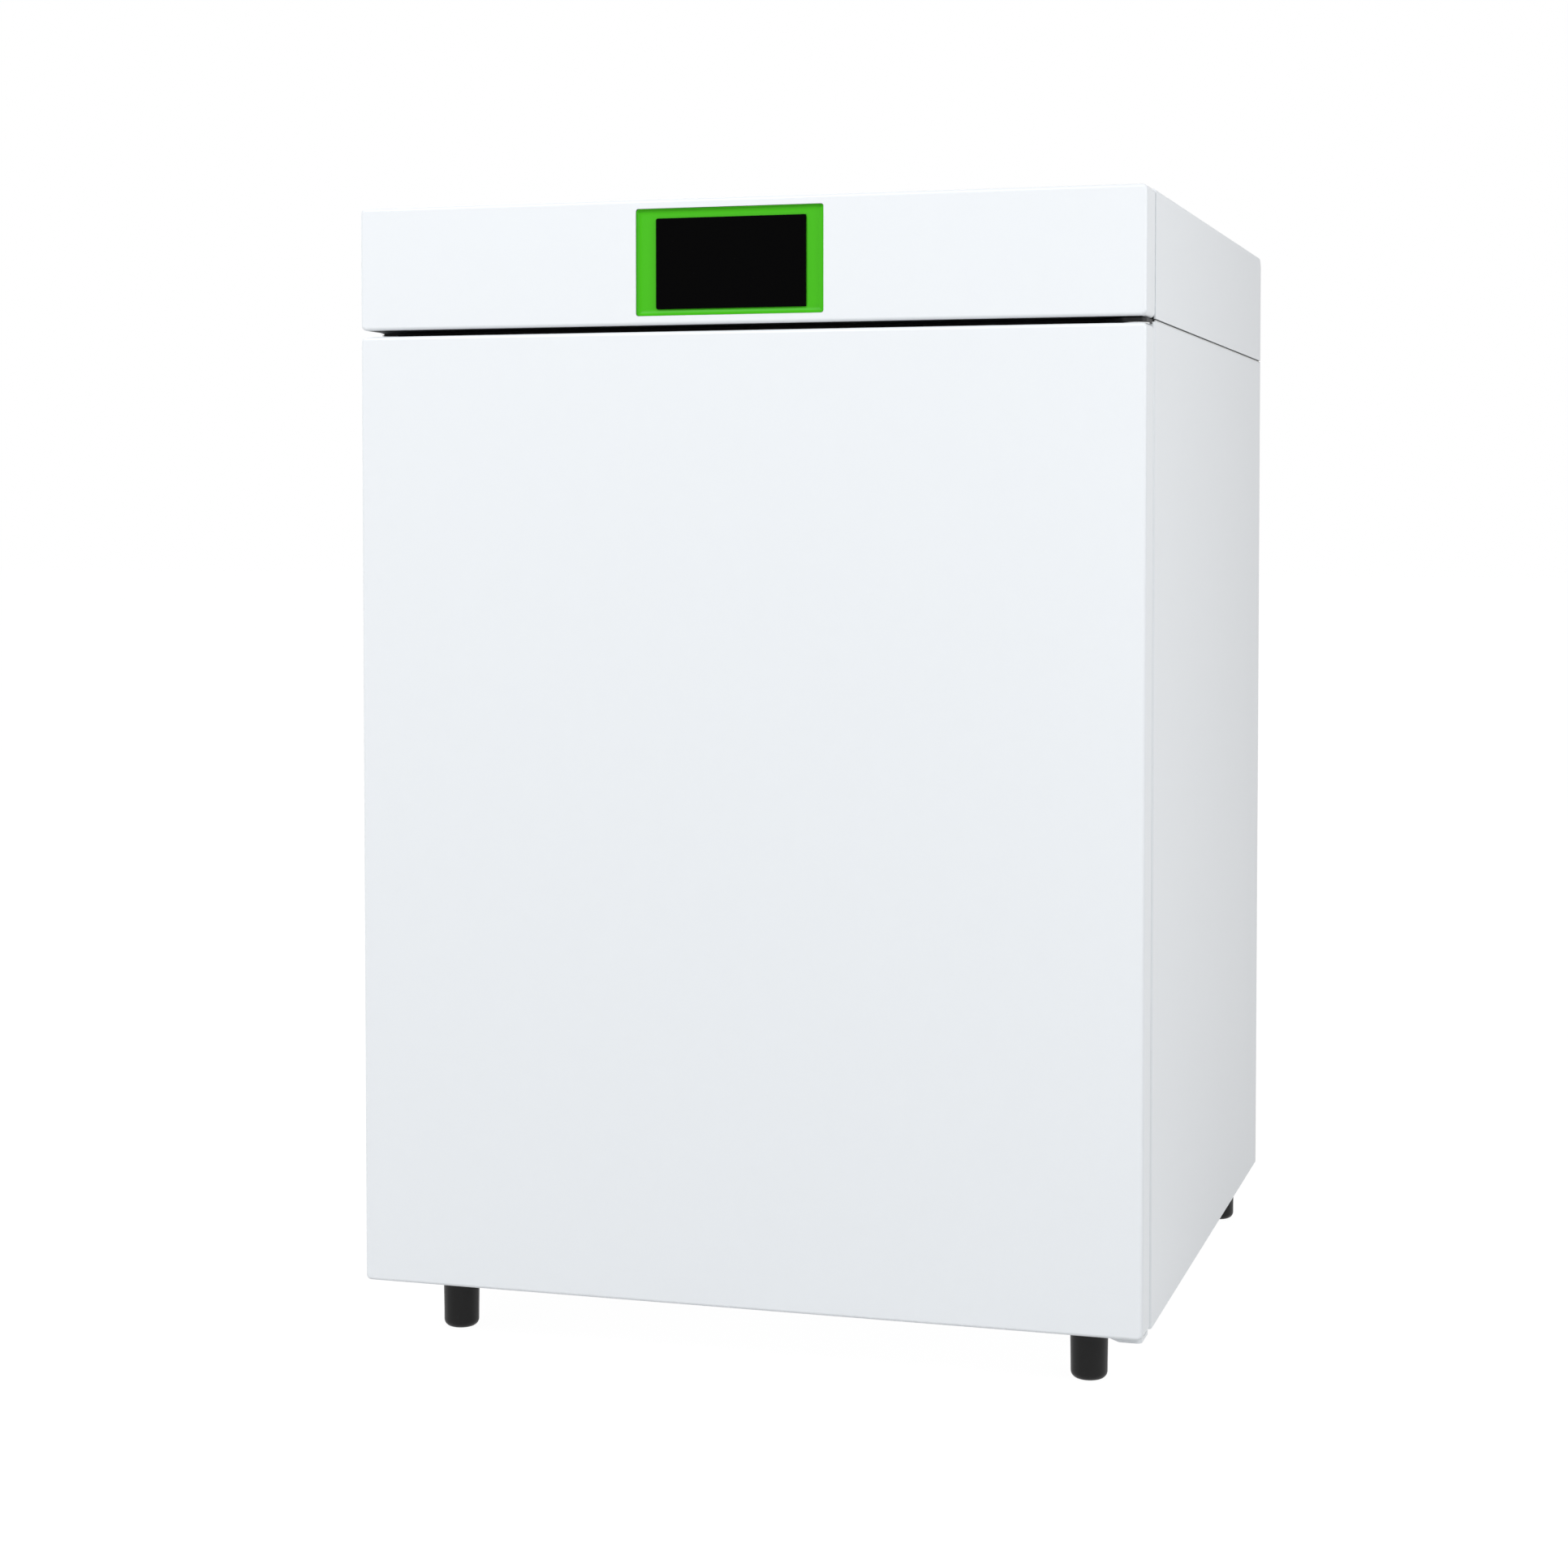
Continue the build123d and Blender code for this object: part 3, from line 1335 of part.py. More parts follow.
control_board.part.label = "control_board"
export_step(control_board.part, "parts/control_board.step")

# Power supply: a folded metal case with its terminal strip in front
supply_x = (supply_shift - supply_width / 2, supply_shift + supply_width / 2)
supply_d = (supply_front, supply_front + supply_depth)
with BuildPart() as power_supply:
    block(supply_x, supply_d, (tray_top, tray_top + supply_height))
    chamfer(power_supply.edges().filter_by(Axis.Y).group_by(Axis.Z)[-1], length=sheet)
    block(
        (supply_x[0] + supply_terminal, supply_x[1] - supply_terminal),
        (supply_front - supply_terminal, supply_front),
        (tray_top, tray_top + supply_terminal),
    )
power_supply.part.label = "power_supply"
export_step(power_supply.part, "parts/power_supply.step")

# Gas valve: brass body with its coil, in line with the gas inlet
valve_d = cabinet_back - valve_distance
with BuildPart() as gas_valve:
    block(
        (valve_shift - valve_body / 2, valve_shift + valve_body / 2),
        (valve_d - valve_body / 2, valve_d + valve_body / 2),
        (tray_top, fitting_z + gas_pipe_radius + sheet),
    )
    with BuildSketch(Plane.XY.offset(fitting_z + gas_pipe_radius + sheet)):
        with Locations((valve_shift, back(valve_d))):
            Circle(valve_coil_radius)
    extrude(amount=valve_coil_height)
gas_valve.part.label = "gas_valve"
export_step(gas_valve.part, "parts/gas_valve.step")

# Gas inlet: a pipe from the valve through the hood's rear, with a nut outside
gas_start = valve_d + valve_body / 2
with BuildPart() as gas_inlet:
    with BuildSketch(facing(gas_start)):
        with Locations((valve_shift, fitting_z)):
            Circle(gas_pipe_radius)
    extrude(amount=-(cabinet_back + rear_reach - gas_start))
    chamfer(gas_inlet.faces().sort_by(Axis.Y)[-1].edges(), length=gas_pipe_chamfer)
    with BuildSketch(facing(cabinet_back)):
        with Locations((valve_shift, fitting_z)):
            RegularPolygon(gas_nut_radius, 6)
    extrude(amount=-gas_nut_height)
gas_inlet.part.label = "gas_inlet"
export_step(gas_inlet.part, "parts/gas_inlet.step")

# Mains inlet: flanged socket with the usual two cut corners
mains_back = cabinet_back + mains_flange
with BuildPart() as mains_inlet:
    with BuildSketch(facing(cabinet_back)):
        with Locations((mains_shift, fitting_z)):
            RectangleRounded(mains_flange_width, mains_flange_height, mains_wall)
    extrude(amount=-mains_flange)
    with BuildSketch(facing(cabinet_back)):
        with Locations((mains_shift, fitting_z)):
            Rectangle(housing_width, housing_height)
    extrude(amount=mains_cavity_depth - mains_flange + mains_floor)
    with BuildSketch(facing(mains_back)) as cavity:
        with Locations((mains_shift, fitting_z)):
            Rectangle(mains_cavity_width, mains_cavity_height)
        chamfer(cavity.vertices().group_by(Axis.Y)[-1], length=mains_chamfer)
    extrude(amount=mains_cavity_depth, mode=Mode.SUBTRACT)
mains_inlet.part.label = "mains_inlet"
export_step(mains_inlet.part, "parts/mains_inlet.step")

# The mains inlet's three blades
with BuildPart() as mains_blades:
    with BuildSketch(facing(mains_back - mains_cavity_depth)):
        with Locations((mains_shift, fitting_z - blade_row)):
            with GridLocations(blade_spacing, 0, 2, 1):
                Rectangle(blade_thickness, blade_height)
        with Locations((mains_shift, fitting_z + blade_row)):
            Rectangle(blade_thickness, blade_height)
    extrude(amount=-blade_length)
mains_blades.part.label = "mains_blades"
export_step(mains_blades.part, "parts/mains_blades.step")

# Power switch's frame: a flanged sleeve with bearings for the rocker's trunnions
pivot_d = cabinet_back - rocker_pivot
with BuildPart() as switch_frame:
    with BuildSketch(facing(cabinet_back)):
        with Locations((switch_shift, fitting_z)):
            RectangleRounded(
                switch_outer[0] + 2 * switch_rim, switch_outer[1] + 2 * switch_rim, switch_rim
            )
    extrude(amount=-switch_flange)
    with BuildSketch(facing(cabinet_back)):
        with Locations((switch_shift, fitting_z)):
            Rectangle(*switch_outer)
    extrude(amount=switch_housing)
    with BuildSketch(facing(cabinet_back + switch_flange)):
        with Locations((switch_shift, fitting_z)):
            Rectangle(switch_width, switch_height)
    extrude(amount=switch_housing, mode=Mode.SUBTRACT)
    with BuildSketch(Plane.YZ.offset(switch_shift)):
        with Locations((back(pivot_d), fitting_z)):
            Circle(trunnion_radius + running_clear)
    extrude(amount=switch_outer[0], both=True, mode=Mode.SUBTRACT)
switch_frame.part.label = "switch_frame"
export_step(switch_frame.part, "parts/switch_frame.step")

# Rocker: shallow vee face, stored tipped to one side
rocker_rise = rocker_half * tan(radians(rocker_tilt))
with BuildPart() as power_rocker:
    with BuildSketch(Plane.YZ.offset(switch_shift)):
        with Locations(Location((back(pivot_d), fitting_z), rocker_tilt)):
            Polygon(
                (rocker_face, 0),
                (rocker_face + rocker_rise, rocker_half),
                (-rocker_heel, rocker_half / 2),
                (-rocker_heel, -rocker_half / 2),
                (rocker_face + rocker_rise, -rocker_half),
                align=None,
            )
    extrude(amount=switch_width / 2 - rocker_clear, both=True)
    with BuildSketch(Plane.YZ.offset(switch_shift)):
        with Locations((back(pivot_d), fitting_z)):
            Circle(trunnion_radius)
    extrude(amount=switch_outer[0] / 2, both=True)
power_rocker.part.label = "power_rocker"
export_step(power_rocker.part, "parts/power_rocker.step")
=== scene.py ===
"""Looks of the carbon dioxide incubator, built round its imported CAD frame.

Lengths are in metres, in the frame's own axes: X to the right as seen from the front,
Y to the rear and Z up from the floor.
"""

import logging
import math
from dataclasses import dataclass
from enum import Enum

import bmesh
import bpy
from mathutils import Matrix, Vector


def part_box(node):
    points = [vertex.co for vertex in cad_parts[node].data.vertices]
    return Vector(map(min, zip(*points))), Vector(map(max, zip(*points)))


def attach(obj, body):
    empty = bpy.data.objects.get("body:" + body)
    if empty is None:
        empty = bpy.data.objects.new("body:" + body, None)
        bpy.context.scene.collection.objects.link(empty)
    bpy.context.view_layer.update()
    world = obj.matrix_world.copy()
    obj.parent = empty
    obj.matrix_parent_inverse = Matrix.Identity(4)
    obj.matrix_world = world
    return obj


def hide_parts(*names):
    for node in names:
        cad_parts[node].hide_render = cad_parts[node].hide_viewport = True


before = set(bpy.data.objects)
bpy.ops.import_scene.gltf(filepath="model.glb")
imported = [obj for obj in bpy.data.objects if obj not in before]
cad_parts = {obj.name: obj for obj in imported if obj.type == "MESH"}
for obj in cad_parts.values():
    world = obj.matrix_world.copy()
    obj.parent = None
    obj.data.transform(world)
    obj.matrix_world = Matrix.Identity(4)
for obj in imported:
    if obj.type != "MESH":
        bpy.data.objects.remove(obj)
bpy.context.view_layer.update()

LOG = logging.getLogger("incubator")
Point = tuple[float, float, float]
Colour = tuple[float, float, float]
Edges = list[bmesh.types.BMEdge]
PURE_WHITE = (1.0, 1.0, 1.0, 1.0)
MERGE_DISTANCE = 1e-6
# What lies flat in XY stands across the depth after this turn.
STAND_UP = Matrix.Rotation(math.radians(90), 4, "X")
# Brushed lines are the noise stretched fifty times along their direction.
BRUSH_STRETCH = 0.02


class Grain(Enum):
    """What the surface of a finish is like close up."""

    SMOOTH = "smooth"
    POWDER = "powder"
    BRUSHED = "brushed"
    MOULDED = "moulded"
    FIBRE = "fibre"


class Along(Enum):
    """The direction in which brushed lines run, as the noise's scale on each axis."""

    X = (BRUSH_STRETCH, 1.0, 1.0)
    Y = (1.0, BRUSH_STRETCH, 1.0)
    Z = (1.0, 1.0, BRUSH_STRETCH)


class Facing(Enum):
    """The direction in which a screw's head points."""

    FRONT = (0.0, -1.0, 0.0)
    REAR = (0.0, 1.0, 0.0)
    RIGHT = (1.0, 0.0, 0.0)

    @property
    def turn(self) -> Matrix:
        """The rotation that takes +Z to this direction."""
        return Vector(self.value).to_track_quat("Z", "Y").to_matrix().to_4x4()


@dataclass(frozen=True)
class GrainNoise:
    """The noise behind one kind of grain.

    Unevenness is how strong its finer layers are, and layers is how many it has.
    """

    name: str
    unevenness: float
    layers: float
    middle: float = 0.5

    def group(self) -> bpy.types.NodeTree:
        """Makes the shader node group that turns a position into grain.

        Returns:
            The group. Its inputs are the Vector, the noise's Scale, the spans Shade and
            Gloss, and the Roughness and Colour that the noise varies. Its outputs are
            Colour, Roughness and Height.
        """
        tree = bpy.data.node_groups.new(self.name, "ShaderNodeTree")
        make = tree.interface.new_socket
        make("Vector", in_out="INPUT", socket_type="NodeSocketVector")
        for label in ("Scale", "Shade", "Gloss", "Roughness"):
            make(label, in_out="INPUT", socket_type="NodeSocketFloat")
        make("Colour", in_out="INPUT", socket_type="NodeSocketColor")
        make("Colour", in_out="OUTPUT", socket_type="NodeSocketColor")
        make("Roughness", in_out="OUTPUT", socket_type="NodeSocketFloat")
        make("Height", in_out="OUTPUT", socket_type="NodeSocketFloat")
        nodes, links = tree.nodes, tree.links
        start, end = nodes.new("NodeGroupInput"), nodes.new("NodeGroupOutput")
        noise = nodes.new("ShaderNodeTexNoise")
        noise.inputs["Roughness"].default_value = self.unevenness
        noise.inputs["Detail"].default_value = self.layers
        links.new(start.outputs["Vector"], noise.inputs["Vector"])
        links.new(start.outputs["Scale"], noise.inputs["Scale"])
        centred = nodes.new("ShaderNodeMath")
        centred.operation = "SUBTRACT"
        centred.inputs[1].default_value = self.middle
        links.new(noise.outputs["Fac"], centred.inputs[0])
        gloss = nodes.new("ShaderNodeMath")
        gloss.operation = "MULTIPLY_ADD"
        links.new(centred.outputs[0], gloss.inputs[0])
        links.new(start.outputs["Gloss"], gloss.inputs[1])
        links.new(start.outputs["Roughness"], gloss.inputs[2])
        shade = nodes.new("ShaderNodeMath")
        shade.operation = "MULTIPLY_ADD"
        shade.inputs[2].default_value = 1.0
        links.new(centred.outputs[0], shade.inputs[0])
        links.new(start.outputs["Shade"], shade.inputs[1])
        tint = nodes.new("ShaderNodeVectorMath")
        tint.operation = "SCALE"
        links.new(start.outputs["Colour"], tint.inputs[0])
        links.new(shade.outputs[0], tint.inputs["Scale"])
        links.new(tint.outputs[0], end.inputs["Colour"])
        links.new(gloss.outputs[0], end.inputs["Roughness"])
        links.new(noise.outputs["Fac"], end.inputs["Height"])
        return tree


GRAIN_NOISES = {
    Grain.POWDER: GrainNoise("powder_coat_skin", unevenness=0.55, layers=2.0),
    Grain.BRUSHED: GrainNoise("brushed_lines", unevenness=0.7, layers=4.0),
    Grain.MOULDED: GrainNoise("moulded_skin", unevenness=0.5, layers=3.0),
    Grain.FIBRE: GrainNoise("fibre_mat", unevenness=0.8, layers=6.0),
}


@dataclass(frozen=True)
class Finish:
    """One surface finish, from which a procedural material is made.

    The grain has scale as cells per metre and depth as its height in metres. Shade and
    gloss are the spans over which it varies the strength of the colour and the roughness.
    """

    name: str
    slot: str
    colour: Colour
    roughness: float
    metallic: float = 0.0
    grain: Grain = Grain.SMOOTH
    along: Along = Along.X
    scale: float = 600.0
    depth: float = 0.0
    shade: float = 0.0
    gloss: float = 0.0
    specular: float = 0.5
    clear: bool = False
    glass_index: float = 1.45

    def material(self, groups: dict[Grain, bpy.types.NodeTree]) -> bpy.types.Material:
        """Makes the material, or returns it if it is there already.

        Args:
            groups: the node group of each kind of grain.

        Returns:
            The finish's material.
        """
        known = bpy.data.materials.get(self.name)
        if known is not None:
            return known
        made = bpy.data.materials.new(self.name)
        made.use_nodes = True
        shader = made.node_tree.nodes["Principled BSDF"]
        shader.inputs["Base Color"].default_value = (*self.colour, 1.0)
        shader.inputs["Roughness"].default_value = self.roughness
        shader.inputs["Metallic"].default_value = self.metallic
        shader.inputs["Specular IOR Level"].default_value = self.specular
        if self.clear:
            shader.inputs["Transmission Weight"].default_value = 1.0
            shader.inputs["IOR"].default_value = self.glass_index
        if self.grain is not Grain.SMOOTH:
            self.add_grain(made.node_tree, groups[self.grain])
        return made

    def add_grain(self, tree: bpy.types.NodeTree, group: bpy.types.NodeTree) -> None:
        """Adds the grain, and links only what changes over the surface.

        Args:
            tree: the material's node tree.
            group: the node group of the finish's grain.
        """
        nodes, links = tree.nodes, tree.links
        shader = nodes["Principled BSDF"]
        skin = nodes.new("ShaderNodeGroup")
        skin.node_tree = group
        skin.inputs["Scale"].default_value = self.scale
        skin.inputs["Shade"].default_value = self.shade
        skin.inputs["Gloss"].default_value = self.gloss
        skin.inputs["Roughness"].default_value = self.roughness
        skin.inputs["Colour"].default_value = (*self.colour, 1.0)
        place = nodes.new("ShaderNodeTexCoord").outputs["Object"]
        if self.grain is Grain.BRUSHED:
            mapping = nodes.new("ShaderNodeMapping")
            mapping.inputs["Scale"].default_value = self.along.value
            links.new(place, mapping.inputs["Vector"])
            place = mapping.outputs["Vector"]
        links.new(place, skin.inputs["Vector"])
        if self.shade:
            links.new(skin.outputs["Colour"], shader.inputs["Base Color"])
        if self.gloss:
            links.new(skin.outputs["Roughness"], shader.inputs["Roughness"])
        if self.depth:
            bump = nodes.new("ShaderNodeBump")
            bump.inputs["Strength"].default_value = 1.0
            bump.inputs["Distance"].default_value = self.depth
            links.new(skin.outputs["Height"], bump.inputs["Height"])
            links.new(bump.outputs["Normal"], shader.inputs["Normal"])


WHITE_COAT = Finish(
    "white_powder_coat", "white_paint", (0.80, 0.83, 0.86), 0.38,
    grain=Grain.POWDER, scale=900.0, depth=0.000012, shade=0.01, gloss=0.08,
)
# Painted shade: this black goes on the top hinge plate and the head tray, which sit in the groove
# under the fascia, so that the groove shows as deep shade.
GROOVE_SHADE_COAT = Finish(
    "black_coat_painted_shade", "black_paint", (0.006, 0.006, 0.007), 0.6,
    grain=Grain.POWDER, scale=900.0, depth=0.00001, gloss=0.1,
)
ZINC = Finish(
    "zinc_sheet", "galvanised", (0.58, 0.59, 0.6), 0.42, metallic=1.0,
    grain=Grain.POWDER, scale=60.0, shade=0.2, gloss=0.2,
)
STEEL_SIDEWAYS = Finish(
    "stainless_brushed_across", "stainless", (0.66, 0.67, 0.68), 0.3, metallic=1.0,
    grain=Grain.BRUSHED, along=Along.X, scale=1400.0, depth=0.000006, shade=0.08, gloss=0.12,
)
STEEL_UPWARDS = Finish(
    "stainless_brushed_up", "stainless", (0.66, 0.67, 0.68), 0.32, metallic=1.0,
    grain=Grain.BRUSHED, along=Along.Z, scale=1400.0, depth=0.000006, shade=0.08, gloss=0.12,
)
STEEL_BACKWARDS = Finish(
    "stainless_brushed_back", "stainless", (0.66, 0.67, 0.68), 0.3, metallic=1.0,
    grain=Grain.BRUSHED, along=Along.Y, scale=1400.0, depth=0.000006, shade=0.08, gloss=0.12,
)
BRIGHT_STEEL = Finish(
    "bright_zinc", "steel", (0.7, 0.71, 0.72), 0.22, metallic=1.0,
    grain=Grain.POWDER, scale=400.0, shade=0.05, gloss=0.1,
)
GREEN_MOULDING = Finish(
    "green_moulding", "green_plastic", (0.058, 0.475, 0.006), 0.42,
    grain=Grain.MOULDED, scale=1500.0, depth=0.000006, gloss=0.06, specular=0.16,
)
SCREEN_GLASS = Finish(
    "black_screen_glass", "black_glass", (0.0008, 0.0008, 0.0009), 0.1, specular=0.025,
)
PANE_GLASS = Finish("clear_pane", "clear_glass", (0.93, 0.975, 0.965), 0.0, clear=True)
BLACK_MOULDING = Finish(
    "black_moulding", "black_plastic", (0.012, 0.012, 0.0135), 0.4,
    grain=Grain.MOULDED, scale=1200.0, depth=0.000012, gloss=0.12,
)
FOOT_MOULDING = Finish(
    "foot_moulding", "black_plastic", (0.009, 0.009, 0.0092), 0.42,
    grain=Grain.MOULDED, scale=900.0, depth=0.000008, gloss=0.08, specular=0.24,
)
PALE_MOULDING = Finish(
    "pale_moulding", "white_plastic", (0.84, 0.85, 0.85), 0.4,
    grain=Grain.MOULDED, scale=1200.0, depth=0.000008, gloss=0.08,
)
PALE_RUBBER = Finish(
    "pale_rubber", "white_rubber", (0.7, 0.71, 0.71), 0.62,
    grain=Grain.MOULDED, scale=700.0, depth=0.00001, gloss=0.1,
)
GREY_SILICONE = Finish(
    "grey_silicone", "grey_silicone", (0.5, 0.51, 0.52), 0.5,
    grain=Grain.MOULDED, scale=700.0, depth=0.000008, gloss=0.1,
)
# Painted shade: the head foam is black so that the gaps round the head and the groove under the
# fascia show as deep shade.
GROOVE_SHADE_FOAM = Finish(
    "black_foam", "black_foam", (0.004, 0.004, 0.004), 0.9,
    grain=Grain.FIBRE, scale=900.0, depth=0.0002,
)
RIGID_FOAM = Finish(
    "rigid_foam", "insulation", (0.72, 0.64, 0.42), 0.85,
    grain=Grain.FIBRE, scale=300.0, depth=0.0003, shade=0.15,
)
HEATER_MAT = Finish(
    "heater_mat", "heater", (0.42, 0.1, 0.04), 0.55,
    grain=Grain.FIBRE, scale=500.0, depth=0.00005, shade=0.1,
)
FILTER_PAPER = Finish(
    "filter_paper", "filter", (0.93, 0.93, 0.91), 0.8,
    grain=Grain.FIBRE, scale=700.0, depth=0.00005, shade=0.08,
)
POLISHED_PROBE = Finish("polished_probe", "probe", (0.68, 0.69, 0.7), 0.14, metallic=1.0)
CIRCUIT_BOARD = Finish("green_circuit_board", "circuit", (0.012, 0.09, 0.03), 0.35)
BRASS = Finish(
    "turned_brass", "brass", (0.72, 0.5, 0.2), 0.26, metallic=1.0,
    grain=Grain.POWDER, scale=300.0, shade=0.05, gloss=0.1,
)


class Workshop:
    """Makes pieces, dresses CAD nodes and keeps the shared node groups."""

    def __init__(self) -> None:
        """Builds the node group of each grain and starts with no pieces."""
        self.groups = {grain: noise.group() for grain, noise in GRAIN_NOISES.items()}
        self.pieces: list[str] = []

    def dress(self, finish: Finish, *nodes: str) -> None:
        """Gives CAD nodes a finish.

        Args:
            finish: the finish that they get.
            nodes: the nodes' names.
        """
        for name in nodes:
            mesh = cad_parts[name].data
            mesh.materials.clear()
            mesh.materials.append(finish.material(self.groups))
            LOG.info("node %s: %s", name, finish.name)

    def add(
        self, name: str, shape: bmesh.types.BMesh, finish: Finish, body: str, *replaced: str
    ) -> None:
        """Makes an object of a finished shape and lets it ride on a body.

        Args:
            name: the new piece's name.
            shape: its shape in the frame's axes; it is freed here.
            finish: what it is made of.
            body: the body that it moves with.
            replaced: CAD nodes that it stands for.
        """
        bmesh.ops.remove_doubles(shape, verts=shape.verts, dist=MERGE_DISTANCE)
        bmesh.ops.recalc_face_normals(shape, faces=shape.faces)
        mesh = bpy.data.meshes.new(name)
        shape.to_mesh(mesh)
        shape.free()
        mesh.materials.append(finish.material(self.groups))
        piece = bpy.data.objects.new(name, mesh)
        bpy.context.scene.collection.objects.link(piece)
        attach(piece, body)
        if replaced:
            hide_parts(*replaced)
        self.pieces.append(name)
        LOG.info("piece %s on %s: %d faces", name, body, len(mesh.polygons))


def ring_of(shape: bmesh.types.BMesh, radius: float, sides: int, at: Matrix) -> Edges:
    """Adds an open ring of edges.

    Args:
        shape: the mesh that it goes into.
        radius: the ring's radius.
        sides: how many edges it has.
        at: its place, with the ring in the local XY plane.

    Returns:
        The ring's edges.
    """
    made = bmesh.ops.create_circle(
        shape, cap_ends=False, segments=sides, radius=radius, matrix=at
    )
    return list({edge for vert in made["verts"] for edge in vert.link_edges})


@dataclass(frozen=True)
class Screw:
    """A button-head screw with a hexagon socket.

    The rim, shoulder and crown are where its profile bends, as shares of the head's
    radius and height.
    """

    radius: float = 0.0035
    height: float = 0.0018
    rim_height: float = 0.45
    shoulder_radius: float = 0.86
    shoulder_height: float = 0.84
    crown_radius: float = 0.62
    sides: int = 24
    socket: float = 0.0014
    socket_depth: float = 0.0011
    socket_sides: int = 6

    def add_to(self, shape: bmesh.types.BMesh, place: Vector, facing: Facing) -> None:
        """Adds one screw head.

        Args:
            shape: the mesh that it goes into.
            place: the middle of its seat.
            facing: the direction in which its head points.
        """
        at = Matrix.Translation(place) @ facing.turn
        profile = (
            (self.radius, 0.0),
            (self.radius, self.rim_height * self.height),
            (self.shoulder_radius * self.radius, self.shoulder_height * self.height),
            (self.crown_radius * self.radius, self.height),
        )
        rings = [
            ring_of(shape, radius, self.sides, at @ Matrix.Translation((0.0, 0.0, level)))
            for radius, level in profile
        ]
        mouth, floor = (
            ring_of(
                shape, self.socket, self.socket_sides, at @ Matrix.Translation((0.0, 0.0, level))
            )
            for level in (self.height, self.height - self.socket_depth)
        )
        for low, high in zip(rings, rings[1:]):
            bmesh.ops.bridge_loops(shape, edges=low + high)
        # Both rings lie in the crown's plane, where a bridge can fold over the socket.
        bmesh.ops.bridge_loops(shape, edges=rings[-1] + mouth)
        bmesh.ops.bridge_loops(shape, edges=mouth + floor)
        bmesh.ops.contextual_create(shape, geom=floor)
        bmesh.ops.contextual_create(shape, geom=rings[0])


def screw_set(places: list[Vector], facing: Facing, screw: Screw) -> bmesh.types.BMesh:
    """Makes a mesh of like screw heads.

    Args:
        places: the middles of their seats.
        facing: the direction in which their heads point.
        screw: the size of each.

    Returns:
        The mesh with all of them.
    """
    shape = bmesh.new()
    for place in places:
        screw.add_to(shape, place, facing)
    return shape


@dataclass
class Cabinet:
    """The cabinet's panels, base, feet and hinge plates."""

    rear_screw: Screw = Screw()
    screws_per_side: int = 4

    def build(self, shop: Workshop) -> None:
        """Dresses the cabinet and puts the rear panel's screws in.

        Args:
            shop: the workshop that makes the pieces.
        """
        shop.dress(
            WHITE_COAT, "side_panel_left", "side_panel_right", "rear_panel", "front_frame"
        )
        shop.dress(ZINC, "base_pan", "top_plate")
        shop.dress(RIGID_FOAM, "insulation_boards")
        # The top hinge plate is black as painted shade, so that it sinks into the groove's shadow.
        shop.dress(GROOVE_SHADE_COAT, "hinge_plate_top")
        shop.dress(WHITE_COAT, "hinge_plate_bottom")
        shop.dress(FOOT_MOULDING, "feet")
        shop.dress(BRIGHT_STEEL, "foot_bolts")
        self.rear_screws(shop)

    def rear_screws(self, shop: Workshop) -> None:
        """Replaces the plain screws of the rear panel by socket screws.

        Args:
            shop: the workshop that makes the pieces.
        """
        low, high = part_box("rear_panel_screws")
        inset = self.rear_screw.radius
        step = (high.z - low.z - 2 * inset) / (self.screws_per_side - 1)
        places = [
            Vector((x, low.y, low.z + inset + row * step))
            for x in (low.x + inset, high.x - inset)
            for row in range(self.screws_per_side)
        ]
        shape = screw_set(places, Facing.REAR, self.rear_screw)
        shop.add("rear_socket_screws", shape, BRIGHT_STEEL, "cabinet", "rear_panel_screws")


